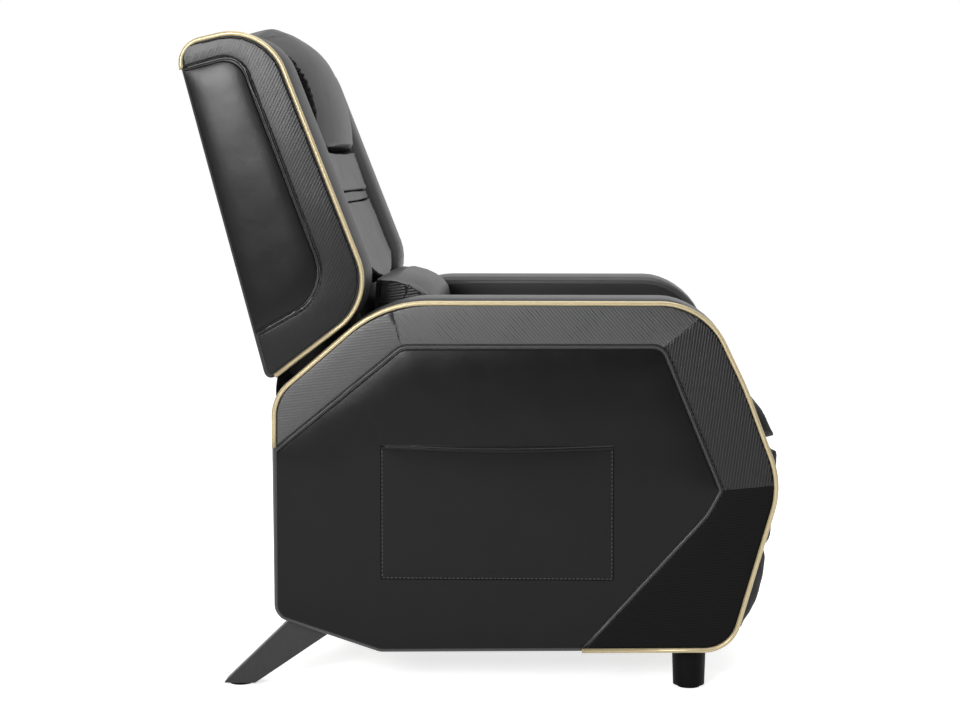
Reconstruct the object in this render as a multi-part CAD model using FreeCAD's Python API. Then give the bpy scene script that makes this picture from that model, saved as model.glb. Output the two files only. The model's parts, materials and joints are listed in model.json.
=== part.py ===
"""Gaming recliner: two padded arms, a winged backrest that tips back, a seat that slides forward with it,
and a footrest that swings out on flat steel bars.

Millimetres. +X is forward, +Y is the sitter's left and +Z is up. The floor is Z = 0 and the arms are
alike about Y = 0. Each piece is made on the right (-Y) side or in the middle, and mirrored if it has a twin.
"""
import math
import os

import FreeCAD
import Part

V = FreeCAD.Vector

# Play between pieces
fit = 0.3
running = 0.05
bar_gap = 1.0
thread_fit = 0.1
same_plane = 0.1
least_round = 1.0

# Arms, seen from the side
seat_width = 510.0
arm_width = 125.0
arm_rear_x = -308.0
arm_front_x = 456.0
arm_top_z = 593.0
arm_bottom_z = 67.0
arm_shoulder_z = 450.0
arm_crest_x = -142.0
arm_brow_x = 341.0
arm_bend_x = 402.0
arm_bend_z = 465.0
arm_nose_z = 320.0
arm_toe_x = 382.0
arm_sole_drop = 6.0
arm_heel_x = -148.0
arm_heel_z = 114.0
arm_shoulder_round = 65.0
arm_crest_round = 178.0
arm_brow_round = 108.0
arm_bend_round = 400.0
arm_nose_round = 128.0
arm_toe_round = 56.0
arm_heel_round = 25.0
arm_outer_round = 8.0
arm_inner_round = 14.0
arm_padding = 20.0
arm_board = 12.0
arm_rail_height = 45.0
arm_post = 55.0

# Gold piping
piping_diameter = 7.0
piping_sunk = 2.5
arm_piping_start_z = 373.0
arm_piping_end_x = 157.0
wing_piping_start_v = 596.0

# Side pocket on the right arm
pocket_x = -146.0
pocket_z = 174.0
pocket_length = 351.0
pocket_height = 205.0
pocket_gap = 5.0
pocket_sheet = 1.6
pocket_hem = 3.0

# Legs
leg_inset = 63.0
front_leg_x = 321.0
front_leg_top = 52.0
front_leg_foot = 48.0
rear_leg_splay = 106.0
rear_leg_foot_length = 48.0
rear_leg_inset = 23.0
rear_leg_top_length = 62.0
rear_leg_thickness = 40.0
glide_thickness = 4.0
glide_diameter = 34.0
leg_bolt_diameter = 8.0
leg_bolt_reach = 30.0

# Cross rails between the arms
rail_z = 88.0
rail_height = 40.0
rail_depth = 40.0
front_rail_x = 120.0
middle_rail_x = -120.0
rear_panel_thickness = 8.0
rear_panel_rise = 1.0
rear_rail_z = 150.0
rear_rail_height = 50.0
rear_rail_depth = 30.0
rail_bolt_diameter = 8.0
rail_bolt_reach = 30.0
dust_cover_thickness = 1.5
gusset_thickness = 2.5
gusset_bulge = 5.0
gusset_lap = 8.0

# Bolt and rivet heads
bolt_head_ratio = 1.7
bolt_head_height = 5.0
rivet_diameter = 8.0
rivet_head_diameter = 14.0
rivet_head_height = 2.0

# Seat tracks and runners
track_web = 4.0
track_depth = 17.0
track_below_seat = 31.4
track_inset = 25.0
track_length = 390.0
runner_inset = 45.0
runner_length = 280.0
runner_height = 22.0
track_to_plate = 4.0
bar_thickness = 4.0

# Backrest hinge and the tail that pushes the seat forward
pivot_inset = 72.0
pivot_rise = 18.0
pivot_diameter = 12.0
back_bracket_thickness = 6.0
back_bracket_width = 90.0
back_arm_thickness = 6.0
back_arm_width = 34.0
back_arm_top_v = 92.0
back_arm_top_u = 20.0
back_arm_bolt_step = 36.0
back_arm_bolt_diameter = 8.0
recline = 45.0
tail_length = 90.0
tail_pin_diameter = 10.0
slot_play = 0.5

# Backrest in its own frame: u runs forward and v runs up the back from the hinge
rake = 16.4
back_rear_u = -45.0
body_bottom_v = 114.0
wing_top_rear_u = -41.0
wing_top_rear_v = 629.0
wing_top_front_u = 100.0
wing_top_front_v = 621.0
wing_low_front_u = 138.0
wing_low_front_v = 178.0
wing_low_rear_u = -55.0
wing_low_rear_v = 104.0
wing_top_rear_round = 37.0
wing_top_front_round = 85.0
wing_low_front_round = 90.0
wing_low_rear_round = 12.0
wing_outer_inset = 14.0
wing_crown = 9.0
wing_roll = 12.0
wing_board = 12.0
wing_board_inset = 34.0
wing_rib_height = 30.0
body_top_v = 622.0
body_top_front_u = 66.0
body_low_front_u = 96.0
body_low_front_v = 190.0
neck_front_u = 82.0
neck_front_v = 18.0
neck_low_u = 60.0
neck_low_v = 6.0
neck_rear_u = 2.0
neck_rear_v = 22.0
neck_back_u = -24.0
neck_back_v = 66.0
body_round = 12.0
back_panel_thickness = 5.0
back_wall = 8.0
upright_width = 30.0
upright_depth = 30.0
upright_u = 5.0
upright_bottom_v = 30.0
back_rail_height = 30.0
webbing_count = 5
webbing_height = 50.0
webbing_thickness = 2.0

# Pads on the front of the backrest
pad_side_gap = 21.0
pad_gap = 2.0
pad_end_share = 0.5
pad_end_crown = 0.3
lower_pad_v = 195.0
lower_pad_height = 140.0
lower_pad_edge = 16.0
lower_pad_crown = 14.0
lower_pad_sweep = 34.0
band_height = 12.0
band_edge = 12.0
band_crown = 6.0
upper_pad_height = 70.0
upper_pad_edge = 16.0
upper_pad_crown = 12.0
headrest_side_gap = 4.0
headrest_height = 222.0
headrest_top_edge = 12.0
headrest_low_edge = 46.0
headrest_bulge = 72.0
headrest_bulge_share = 0.27
headrest_end_share = 0.7
lumbar_side_gap = 35.0
lumbar_height = 169.0
lumbar_depth = 60.0
lumbar_crown = 30.0
lumbar_bow = 7.0
lumbar_end_share = 0.75
lumbar_clear = 6.0

# Seat
seat_to_pivot = 81.0
seat_front_x = 462.0
seat_bottom_z = 366.0
seat_thickness = 80.0
seat_crown = 10.0
seat_roll = 14.0
seat_side_play = 4.0
seat_nose_rise = 2.0
seat_nose_round = 66.0
seat_frame_height = 35.0
seat_overhang = 117.0
seat_rail_width = 30.0
seat_spring_count = 4
seat_spring_bends = 10
seat_spring_wire = 4.0
seat_spring_half_width = 32.0
spring_clip_length = 18.0
spring_clip_depth = 10.0
spring_clip_height = 8.0

# Footrest linkage, stowed
link_length = 140.0
link_stowed_angle = -110.0
link_spacing = 150.0
link_pivot_inset = 65.0
link_pivot_drop = 68.0
crank_length = 50.0
crank_stowed_angle = -92.0
link_half_width = 12.0
carrier_half_width = 15.0
hinge_reach = 103.0
hinge_rise = 20.0
carrier_tube_diameter = 20.0

# Footrest
footrest_tilt = 6.0
footrest_top = 35.0
footrest_length = 275.0
footrest_side_play = 6.0
footrest_back = 26.0
footrest_board = 12.0
footrest_edge = 26.0
footrest_crown = 18.0
footrest_bow = 5.0
footrest_end_share = 0.55
footrest_end_crown = 0.4
footrest_flange = 30.0

# Places across a cushion's width, as shares of its half width, where its outline is drawn
half_steps = (0.25, 0.5, 0.72, 0.87, 0.95, 0.985, 1.0)
side_steps = [-share for share in reversed(half_steps)] + [0.0] + list(half_steps)
wing_steps = (0.0, 0.12, 0.28, 0.5, 0.7, 0.85, 0.95, 1.0)

# How late a cushion falls off towards its ends: a higher power keeps it full for longer
pad_fall = 4
lumbar_fall = 6
footrest_fall = 6
wing_fall = 8
seat_fall = 12

# Places along the chair and above the floor that follow from the arms and the seat
arm_heel_low_z = arm_bottom_z - arm_sole_drop
rear_leg_top_x = arm_rear_x + rear_leg_inset
rear_leg_foot_x = rear_leg_top_x - rear_leg_splay
pivot_x = arm_rear_x + pivot_inset
pivot_z = seat_bottom_z + pivot_rise
rear_panel_top_z = pivot_z + rear_panel_rise
seat_rear_x = pivot_x + seat_to_pivot
seat_top_z = seat_bottom_z + seat_thickness
seat_nose_z = seat_bottom_z + seat_nose_rise
seat_frame_front_x = seat_front_x - seat_overhang
track_height = runner_height + 2 * fit + 2 * track_web
track_z = seat_bottom_z - track_below_seat - track_height
track_rear_x = seat_rear_x + track_inset
runner_rear_x = seat_rear_x + runner_inset
link_pivot_x = seat_frame_front_x - link_pivot_inset
link_pivot_z = seat_bottom_z - link_pivot_drop
hinge_x = link_pivot_x + hinge_reach
hinge_z = link_pivot_z + hinge_rise

# Sideways layers of the mechanism, from the arm inwards
arm_inner_y = seat_width / 2
arm_outer_y = arm_inner_y + arm_width
leg_y = arm_outer_y - leg_inset
plate_outer_y = arm_inner_y - track_depth - track_to_plate
plate_inner_y = plate_outer_y - bar_thickness
link_outer_y = plate_inner_y - bar_gap
link_inner_y = link_outer_y - bar_thickness
carrier_outer_y = link_inner_y - bar_gap
carrier_inner_y = carrier_outer_y - bar_thickness
bracket_outer_y = carrier_inner_y - bar_gap
bracket_inner_y = bracket_outer_y - bar_thickness
control_outer_y = bracket_inner_y - bar_gap
control_inner_y = control_outer_y - bar_thickness
back_half = plate_outer_y + 2 * bar_gap
wing_outer_y = arm_outer_y - wing_outer_inset
pad_width = 2 * (back_half - pad_side_gap)
headrest_width = 2 * (back_half - headrest_side_gap)
lumbar_width = 2 * (arm_inner_y - lumbar_side_gap)

# The wing's outer edge is cut off at a slant, and the cord lies along the slant
wing_edge = piping_diameter
wing_piping_sunk = (wing_edge - math.sqrt(2) * (piping_diameter / 2 + thread_fit)) / 2

arm_corners = [
    (arm_rear_x, arm_shoulder_z, arm_shoulder_round),
    (arm_crest_x, arm_top_z, arm_crest_round),
    (arm_brow_x, arm_top_z, arm_brow_round),
    (arm_bend_x, arm_bend_z, arm_bend_round),
    (arm_front_x, arm_nose_z, arm_nose_round),
    (arm_toe_x, arm_bottom_z, arm_toe_round),
    (arm_heel_x, arm_heel_low_z, arm_heel_round),
    (arm_rear_x, arm_heel_z, arm_heel_round),
]
wing_corners = [
    (wing_top_rear_u, wing_top_rear_v, wing_top_rear_round),
    (wing_top_front_u, wing_top_front_v, wing_top_front_round),
    (wing_low_front_u, wing_low_front_v, wing_low_front_round),
    (wing_low_rear_u, wing_low_rear_v, wing_low_rear_round),
]


def corner_arc(before, corner, after, radius):
    """The start, middle and end of the arc that rounds a corner of an outline in the XZ plane."""
    tip = V(corner[0], 0, corner[1])
    back = V(before[0], 0, before[1]) - tip
    ahead = V(after[0], 0, after[1]) - tip
    back.normalize()
    ahead.normalize()
    half = back.getAngle(ahead) / 2
    inward = back + ahead
    inward.normalize()
    middle = tip + inward * (radius / math.sin(half) - radius)
    reach = radius / math.tan(half)
    return tip + back * reach, middle, tip + ahead * reach


def rounded_wire(corners, y):
    """A closed outline through corners (x, z, radius) in the plane at y."""
    count = len(corners)
    arcs = []
    for i, corner in enumerate(corners):
        arcs.append(corner_arc(corners[i - 1], corner, corners[(i + 1) % count], corner[2]))
    edges = []
    for i, (start, middle, end) in enumerate(arcs):
        edges.append(Part.Arc(start, middle, end).toShape())
        edges.append(Part.makeLine(end, arcs[(i + 1) % count][0]))
    wire = Part.Wire(edges)
    wire.translate(V(0, y, 0))
    return wire


def rounded_path(corners, y):
    """An open path through corners (x, z, radius) in the plane at y, from the first to the last point."""
    last = V(corners[0][0], 0, corners[0][1])
    edges = []
    for i in range(1, len(corners) - 1):
        start, middle, end = corner_arc(corners[i - 1], corners[i], corners[i + 1], corners[i][2])
        edges.append(Part.makeLine(last, start))
        edges.append(Part.Arc(start, middle, end).toShape())
        last = end
    edges.append(Part.makeLine(last, V(corners[-1][0], 0, corners[-1][1])))
    path = Part.Wire(edges)
    path.translate(V(0, y, 0))
    return path


def inset(corners, distance):
    """The outline moved inwards by a distance, with its roundings made smaller by as much."""
    moved = []
    count = len(corners)
    for i, corner in enumerate(corners):
        tip = V(corner[0], 0, corner[1])
        back = V(corners[i - 1][0], 0, corners[i - 1][1]) - tip
        ahead = V(corners[(i + 1) % count][0], 0, corners[(i + 1) % count][1]) - tip
        back.normalize()
        ahead.normalize()
        half = back.getAngle(ahead) / 2
        inward = back + ahead
        inward.normalize()
        tip = tip + inward * (distance / math.sin(half))
        moved.append((tip.x, tip.z, max(corner[2] - distance, least_round)))
    return moved


def slab(corners, y0, y1):
    """A plate with a rounded outline, from y0 to y1."""
    return Part.Face(rounded_wire(corners, y0)).extrude(V(0, y1 - y0, 0))


def polygon_slab(points, y0, y1):
    """A plate with sharp corners (x, z), from y0 to y1."""
    corners = [V(x, y0, z) for x, z in points]
    return Part.Face(Part.makePolygon(corners + corners[:1])).extrude(V(0, y1 - y0, 0))


def box(x0, x1, y0, y1, z0, z1):
    """A block between two corners."""
    return Part.makeBox(x1 - x0, y1 - y0, z1 - z0, V(x0, y0, z0))


def rod(x, z, y0, y1, diameter):
    """A round bar along Y."""
    return Part.makeCylinder(diameter / 2, y1 - y0, V(x, y0, z), V(0, 1, 0))


def post(x, y, z0, z1, diameter):
    """A round bar along Z."""
    return Part.makeCylinder(diameter / 2, z1 - z0, V(x, y, z0), V(0, 0, 1))


def strip(start, end, half_width, y0, y1):
    """A flat bar with round ends from one pivot (x, z) to another."""
    along = V(end[0] - start[0], 0, end[1] - start[1])
    along.normalize()
    across = V(-along.z, 0, along.x) * half_width
    tips = along * half_width
    a = V(start[0], y0, start[1])
    b = V(end[0], y0, end[1])
    edges = [
        Part.makeLine(a + across, b + across),
        Part.Arc(b + across, b + tips, b - across).toShape(),
        Part.makeLine(b - across, a - across),
        Part.Arc(a - across, a - tips, a + across).toShape(),
    ]
    return Part.Face(Part.Wire(edges)).extrude(V(0, y1 - y0, 0))


def bar(points, half_width, y0, y1, hole_diameter):
    """A flat bar through pivots (x, z), with a hole at each."""
    solid = strip(points[0], points[1], half_width, y0, y1)
    for start, end in zip(points[1:], points[2:]):
        solid = solid.fuse(strip(start, end, half_width, y0, y1))
    for x, z in points:
        solid = solid.cut(rod(x, z, y0 - fit, y1 + fit, hole_diameter))
    return solid.removeSplitter()


def tube(path, diameter):
    """A round cord along a path of lines and tangent arcs."""
    first = path.OrderedEdges[0]
    start = first.valueAt(first.FirstParameter)
    circle = Part.Circle(start, first.tangentAt(first.FirstParameter), diameter / 2).toShape()
    return path.makePipe(Part.Face(Part.Wire([circle])))


def loft(wires):
    """A solid through a row of outlines."""
    solid = Part.makeLoft(wires, True, True)
    if solid.Volume < 0:
        solid.reverse()
    return solid


def bolt(x, y, z, axis, length, diameter):
    """A bolt with a six-sided head that sits on (x, y, z), its shank running along axis."""
    head = diameter * bolt_head_ratio / 2
    sides = [V(head * math.cos(k * math.pi / 3), head * math.sin(k * math.pi / 3), 0) for k in range(7)]
    solid = Part.Face(Part.makePolygon(sides)).extrude(V(0, 0, -bolt_head_height))
    solid = solid.fuse(Part.makeCylinder(diameter / 2, length)).removeSplitter()
    solid.Placement = FreeCAD.Placement(V(x, y, z), FreeCAD.Rotation(V(0, 0, 1), axis))
    return solid


def bolt_room(x, y, z, axis, length, diameter):
    """The hole that a bolt takes, with room for its head."""
    head = diameter * bolt_head_ratio / 2 + thread_fit
    room = Part.makeCylinder(head, bolt_head_height + fit, V(0, 0, -bolt_head_height - fit))
    room = room.fuse(Part.makeCylinder(diameter / 2 + thread_fit, length + fit))
    room.Placement = FreeCAD.Placement(V(x, y, z), FreeCAD.Rotation(V(0, 0, 1), axis))
    return room


def rivet(x, z, y0, y1):
    """A rivet through bars that lie from y0 to y1, with a flat head at each end."""
    shank = rod(x, z, y0, y1, rivet_diameter)
    near = rod(x, z, y0 - rivet_head_height, y0, rivet_head_diameter)
    far = rod(x, z, y1, y1 + rivet_head_height, rivet_head_diameter)
    return shank.fuse([near, far]).removeSplitter()


def mirrored(shape):
    """The same piece on the other side of the chair."""
    return shape.mirror(V(0, 0, 0), V(0, 1, 0))


def pair(shape):
    """A piece on the right and its twin on the left."""
    return Part.makeCompound([shape, mirrored(shape)])


def lean(shape):
    """A piece of the backrest, from the back's own frame to its place on the hinge."""
    placed = shape.copy()
    placed.rotate(V(0, 0, 0), V(0, -1, 0), rake)
    placed.translate(V(pivot_x, 0, pivot_z))
    return placed


def tip_footrest(shape):
    """A piece of the footrest, from upright at its hinge to its stowed place."""
    placed = shape.copy()
    placed.rotate(V(0, 0, 0), V(0, -1, 0), -footrest_tilt)
    placed.translate(V(hinge_x, 0, hinge_z))
    return placed


def turned(start, length, angle):
    """The point (x, z) at a length and an angle in degrees from another."""
    turn = math.radians(angle)
    return start[0] + length * math.cos(turn), start[1] + length * math.sin(turn)


# Pivots of the footrest linkage
front_top = (link_pivot_x, link_pivot_z)
front_low = turned(front_top, link_length, link_stowed_angle)
front_crank = turned(front_low, crank_length, crank_stowed_angle)
rear_top = (front_top[0] - link_spacing, front_top[1])
rear_low = (front_low[0] - link_spacing, front_low[1])
footrest_hinge = (hinge_x, hinge_z)
footrest_crank = turned(footrest_hinge, crank_length, crank_stowed_angle)

# The bolt (x, z) in each cross rail's end: the rear one is set forward, clear of the arm's rear padding
front_rail_bolt = (front_rail_x, rail_z + rail_height / 2)
middle_rail_bolt = (middle_rail_x, rail_z + rail_height / 2)
rear_rail_bolt = (arm_rear_x + arm_padding + rail_bolt_diameter, rear_rail_z + rear_rail_height / 2)
rail_bolt_spots = [front_rail_bolt, middle_rail_bolt, rear_rail_bolt]

# Where the tail pin of the backrest stands when the back is upright
tail_swing = tail_length * math.sin(math.radians(recline / 2))
tail_rest_x = pivot_x - tail_swing
tail_rest_z = pivot_z - tail_length * math.cos(math.radians(recline / 2))
tail_low_z = pivot_z - tail_length
seat_travel = 2 * tail_swing


def arm_piping_path(y):
    """The line of the gold cord round an arm, from the rear edge over the top to the underside."""
    edge = inset(arm_corners, piping_sunk)
    start = (edge[0][0], arm_piping_start_z, 0)
    toe_x, toe_z, _ = edge[5]
    heel_x, heel_z, _ = edge[6]
    share = (toe_x - arm_piping_end_x) / (toe_x - heel_x)
    end = (arm_piping_end_x, toe_z + (heel_z - toe_z) * share, 0)
    return rounded_path([start] + edge[0:6] + [end], y)


def arm_piping(diameter):
    """The gold cord on the right arm."""
    return tube(arm_piping_path(-arm_outer_y + piping_sunk), diameter)


def rail_bolt(x, z, make):
    """One bolt from inside the right arm into the end of a cross rail, or its hole."""
    head_y = -arm_inner_y - arm_padding - fit - arm_board
    length = arm_padding + fit + arm_board + rail_bolt_reach
    return make(x, head_y, z, V(0, 1, 0), length, rail_bolt_diameter)


def heel_line_z(x):
    """The height of the sloping underside at the rear of the arm."""
    slope = (arm_heel_z - arm_heel_low_z) / (arm_heel_x - arm_rear_x)
    return arm_heel_z - (x - arm_rear_x) * slope


def leg_bolt_spots():
    """For each right leg: the bolt's x, the height of its head, and the height of its lower end."""
    floor = arm_bottom_z + arm_padding + fit
    front = (front_leg_x, floor + arm_rail_height, arm_bottom_z - leg_bolt_reach)
    rear_x = rear_leg_top_x + rear_leg_top_length / 4
    rear = (rear_x, arm_heel_z + arm_padding + arm_rail_height, heel_line_z(rear_x) - leg_bolt_reach)
    return [front, rear]


def leg_bolt(x, head_z, low_z, make):
    """One bolt down into a right leg, or its hole."""
    return make(x, -leg_y, head_z, V(0, 0, -1), head_z - low_z, leg_bolt_diameter)


def arm_bolt_rooms():
    """The holes in the right arm for the bolts of the rails and legs."""
    rooms = [rail_bolt(x, z, bolt_room) for x, z in rail_bolt_spots]
    return rooms + [leg_bolt(*spot, bolt_room) for spot in leg_bolt_spots()]


def right_arm_cover():
    """Padding and cover of the right arm: a hollow shell round the arm's frame."""
    cover = slab(arm_corners, -arm_outer_y, -arm_inner_y)
    outer = [e for e in cover.Edges if abs(e.BoundBox.YMax + arm_outer_y) < same_plane]
    cover = cover.makeFillet(arm_outer_round, outer)
    inner = [e for e in cover.Edges if abs(e.BoundBox.YMin + arm_inner_y) < same_plane]
    cover = cover.makeFillet(arm_inner_round, inner)
    hollow = slab(inset(arm_corners, arm_padding), -arm_outer_y + arm_padding, -arm_inner_y - arm_padding)
    return cover.cut([hollow, arm_piping(piping_diameter + 2 * thread_fit)] + arm_bolt_rooms())


def right_arm_frame():
    """Two boards and the rails and posts between them."""
    outline = inset(arm_corners, arm_padding + fit)
    y_out = -arm_outer_y + arm_padding + fit
    y_in = -arm_inner_y - arm_padding - fit
    boards = [slab(outline, y_out, y_out + arm_board), slab(outline, y_in - arm_board, y_in)]
    y0 = y_out + arm_board
    y1 = y_in - arm_board
    room = slab(outline, y0, y1)
    low_z = arm_bottom_z + arm_padding + fit
    heel_top = arm_heel_z + arm_padding + arm_rail_height
    rail_top = low_z + arm_rail_height
    top_rail_z = arm_top_z - arm_padding - fit - arm_rail_height
    post_x = front_leg_x + arm_board
    blocks = [
        box(arm_heel_x, arm_front_x, y0, y1, arm_bottom_z, rail_top),
        box(arm_rear_x, arm_heel_x, y0, y1, arm_heel_low_z, heel_top),
        box(arm_rear_x, arm_rear_x + arm_padding + arm_post, y0, y1, heel_top, arm_top_z),
        box(post_x, post_x + arm_post, y0, y1, rail_top, top_rail_z),
        box(arm_crest_x, arm_front_x, y0, y1, top_rail_z, arm_top_z),
    ]
    solids = boards + [block.common(room) for block in blocks]
    pieces = []
    for solid in solids:
        pieces += solid.cut(arm_bolt_rooms()).Solids
    return Part.makeCompound(pieces)


def side_pocket():
    """A flat bag on the outside of the right arm, closed at the sides and below and open above."""
    y1 = -arm_outer_y
    y0 = y1 - pocket_gap - pocket_sheet
    bag = box(pocket_x, pocket_x + pocket_length, y0, y1, pocket_z, pocket_z + pocket_height)
    space = box(
        pocket_x + pocket_hem,
        pocket_x + pocket_length - pocket_hem,
        y1 - pocket_gap,
        y1,
        pocket_z + pocket_hem,
        pocket_z + pocket_height,
    )
    return bag.cut(space)


def right_front_leg():
    """A round leg that narrows a little towards the floor."""
    height = arm_bottom_z - glide_thickness
    foot = V(front_leg_x, -leg_y, glide_thickness)
    leg = Part.makeCone(front_leg_foot / 2, front_leg_top / 2, height, foot)
    arm = slab(arm_corners, -arm_outer_y, -arm_inner_y)
    return leg.cut([arm, leg_bolt(*leg_bolt_spots()[0], bolt_room)])


def right_rear_leg():
    """A flat leg that slants back from the sloping underside of the arm."""
    outline = [
        (rear_leg_foot_x, glide_thickness),
        (rear_leg_foot_x + rear_leg_foot_length, glide_thickness),
        (rear_leg_top_x + rear_leg_top_length, heel_line_z(rear_leg_top_x + rear_leg_top_length)),
        (rear_leg_top_x, heel_line_z(rear_leg_top_x)),
    ]
    leg = polygon_slab(outline, -leg_y - rear_leg_thickness / 2, -leg_y + rear_leg_thickness / 2)
    return leg.cut(leg_bolt(*leg_bolt_spots()[1], bolt_room))


def foot_glides():
    """A plastic glide under each leg."""
    front = post(front_leg_x, -leg_y, 0, glide_thickness, glide_diameter)
    rear_x = rear_leg_foot_x + rear_leg_foot_length / 2
    rear = post(rear_x, -leg_y, 0, glide_thickness, glide_diameter)
    return Part.makeCompound([front, rear, mirrored(front), mirrored(rear)])


def leg_bolts():
    """A bolt down through the arm's frame into each leg."""
    bolts = [leg_bolt(*spot, bolt) for spot in leg_bolt_spots()]
    return Part.makeCompound(bolts + [mirrored(b) for b in bolts])


def cross_rail(x0, x1, z0, z1, spot):
    """A rail from arm to arm, with a bolt hole in each end."""
    rail = box(x0, x1, -arm_inner_y, arm_inner_y, z0, z1)
    hole = rail_bolt(*spot, bolt_room)
    return rail.cut([hole, mirrored(hole)])


def low_rail(x, spot):
    """One of the two rails near the floor."""
    return cross_rail(x - rail_depth / 2, x + rail_depth / 2, rail_z, rail_z + rail_height, spot)


def rear_rail():
    """The rail that carries the rear panel."""
    x0 = arm_rear_x + rear_panel_thickness
    return cross_rail(x0, x0 + rear_rail_depth, rear_rail_z, rear_rail_z + rear_rail_height, rear_rail_bolt)


def rail_bolts():
    """The bolts of the three cross rails."""
    bolts = [rail_bolt(x, z, bolt) for x, z in rail_bolt_spots]
    return Part.makeCompound(bolts + [mirrored(b) for b in bolts])


def rear_panel():
    """The stiff panel that closes the base at the rear, between the arms."""
    return box(
        arm_rear_x, arm_rear_x + rear_panel_thickness, -arm_inner_y, arm_inner_y, arm_heel_z, rear_panel_top_z
    )


def dust_cover():
    """The cloth under the seat, stapled below the two low rails."""
    x0 = middle_rail_x - rail_depth / 2
    x1 = front_rail_x + rail_depth / 2
    return box(x0, x1, -arm_inner_y + fit, arm_inner_y - fit, rail_z - dust_cover_thickness, rail_z)


def body_low_corner():
    """Where the lower rear corner of the backrest stands, as (x, z)."""
    turn = math.radians(rake)
    x = pivot_x + back_rear_u * math.cos(turn) - body_bottom_v * math.sin(turn)
    z = pivot_z + back_rear_u * math.sin(turn) + body_bottom_v * math.cos(turn)
    return x, z


def rear_gusset():
    """The slack cloth between the rear panel and the foot of the backrest."""
    top_x, top_z = body_low_corner()
    low = V(arm_rear_x - fit, 0, rear_panel_top_z - gusset_lap)
    high = V(top_x - fit, 0, top_z - fit)
    middle = (low + high) * 0.5 - V(gusset_bulge, 0, 0)
    depth = V(gusset_thickness, 0, 0)
    edges = [
        Part.Arc(low, middle, high).toShape(),
        Part.makeLine(high, high - depth),
        Part.Arc(high - depth, middle - depth, low - depth).toShape(),
        Part.makeLine(low - depth, low),
    ]
    cloth = Part.Face(Part.Wire(edges))
    half = back_half - fit
    cloth.translate(V(0, -half, 0))
    return cloth.extrude(V(0, 2 * half, 0))


def seat_track():
    """The channel on the right arm that the seat's runner slides in."""
    x1 = track_rear_x + track_length
    z1 = track_z + track_height
    channel = box(track_rear_x, x1, -arm_inner_y, -arm_inner_y + track_depth, track_z, z1)
    room_y = -arm_inner_y + track_web
    room = box(track_rear_x, x1, room_y, -arm_inner_y + track_depth, track_z + track_web, z1 - track_web)
    return channel.cut(room)


def back_bracket():
    """The plate on the right arm that carries the backrest's hinge pin."""
    half = back_bracket_width / 2
    corners = [
        (pivot_x - half, pivot_z - half, body_round),
        (pivot_x - half, pivot_z + half, body_round),
        (pivot_x + half, pivot_z + half, body_round),
        (pivot_x + half, pivot_z - half, body_round),
    ]
    return slab(corners, -arm_inner_y, -arm_inner_y + back_bracket_thickness)


def back_pivot_pin():
    """The hinge pin on the right bracket, with a flat head inside the backrest's steel arm."""
    y0 = -arm_inner_y + back_bracket_thickness
    y1 = -back_half + fit
    pin = rod(pivot_x, pivot_z, y0, y1, pivot_diameter)
    head = rod(pivot_x, pivot_z, y1, y1 + rivet_head_height, pivot_diameter + rivet_head_height)
    return pin.fuse(head).removeSplitter()


def seat_plate():
    """The long steel plate under the right edge of the seat, with the slot for the backrest's tail pin."""
    half = link_half_width + bar_gap
    low = strip((tail_rest_x, link_pivot_z), front_top, half, -plate_outer_y, -plate_inner_y)
    upper_z = seat_bottom_z - seat_frame_height / 2
    upper = box(seat_rear_x, front_top[0], -plate_outer_y, -plate_inner_y, link_pivot_z, upper_z)
    ear = box(
        tail_rest_x - tail_pin_diameter,
        tail_rest_x + tail_pin_diameter,
        -plate_outer_y,
        -plate_inner_y,
        link_pivot_z,
        tail_rest_z + tail_pin_diameter + half / 2,
    )
    plate = low.fuse([upper, ear]).removeSplitter()
    slot = strip(
        (tail_rest_x, tail_low_z),
        (tail_rest_x, tail_rest_z),
        tail_pin_diameter / 2 + slot_play,
        -plate_outer_y - fit,
        -plate_inner_y + fit,
    )
    plate = plate.cut(slot)
    for x, z in (front_top, rear_top):
        plate = plate.cut(rod(x, z, -plate_outer_y - fit, -plate_inner_y + fit, rivet_diameter))
    return plate


def seat_runner():
    """The plastic runner on the right seat plate, in its track."""
    z0 = track_z + track_web + fit
    y0 = -arm_inner_y + track_web + bar_gap
    return box(runner_rear_x, runner_rear_x + runner_length, y0, -plate_outer_y, z0, z0 + runner_height)


def seat_rivets():
    """The rivets that the four links hang from."""
    rivets = [rivet(x, z, -plate_outer_y, -link_inner_y + fit) for x, z in (front_top, rear_top)]
    return Part.makeCompound(rivets + [mirrored(r) for r in rivets])


def seat_side_rail():
    """The right rail of the seat's frame."""
    y0 = -plate_inner_y
    z0 = seat_bottom_z - seat_frame_height
    return box(seat_rear_x, seat_frame_front_x, y0, y0 + seat_rail_width, z0, seat_bottom_z)


def seat_cross_rails():
    """The front and rear rails of the seat's frame."""
    y1 = plate_inner_y - seat_rail_width
    z0 = seat_bottom_z - seat_frame_height
    rear = box(seat_rear_x, seat_rear_x + seat_rail_width, -y1, y1, z0, seat_bottom_z)
    front = box(seat_frame_front_x - seat_rail_width, seat_frame_front_x, -y1, y1, z0, seat_bottom_z)
    return Part.makeCompound([rear, front])


def spring_rows():
    """The sideways place of each seat spring."""
    span = 2 * (plate_inner_y - seat_rail_width)
    step = span / seat_spring_count
    return [(k + 0.5) * step - span / 2 for k in range(seat_spring_count)]


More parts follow.
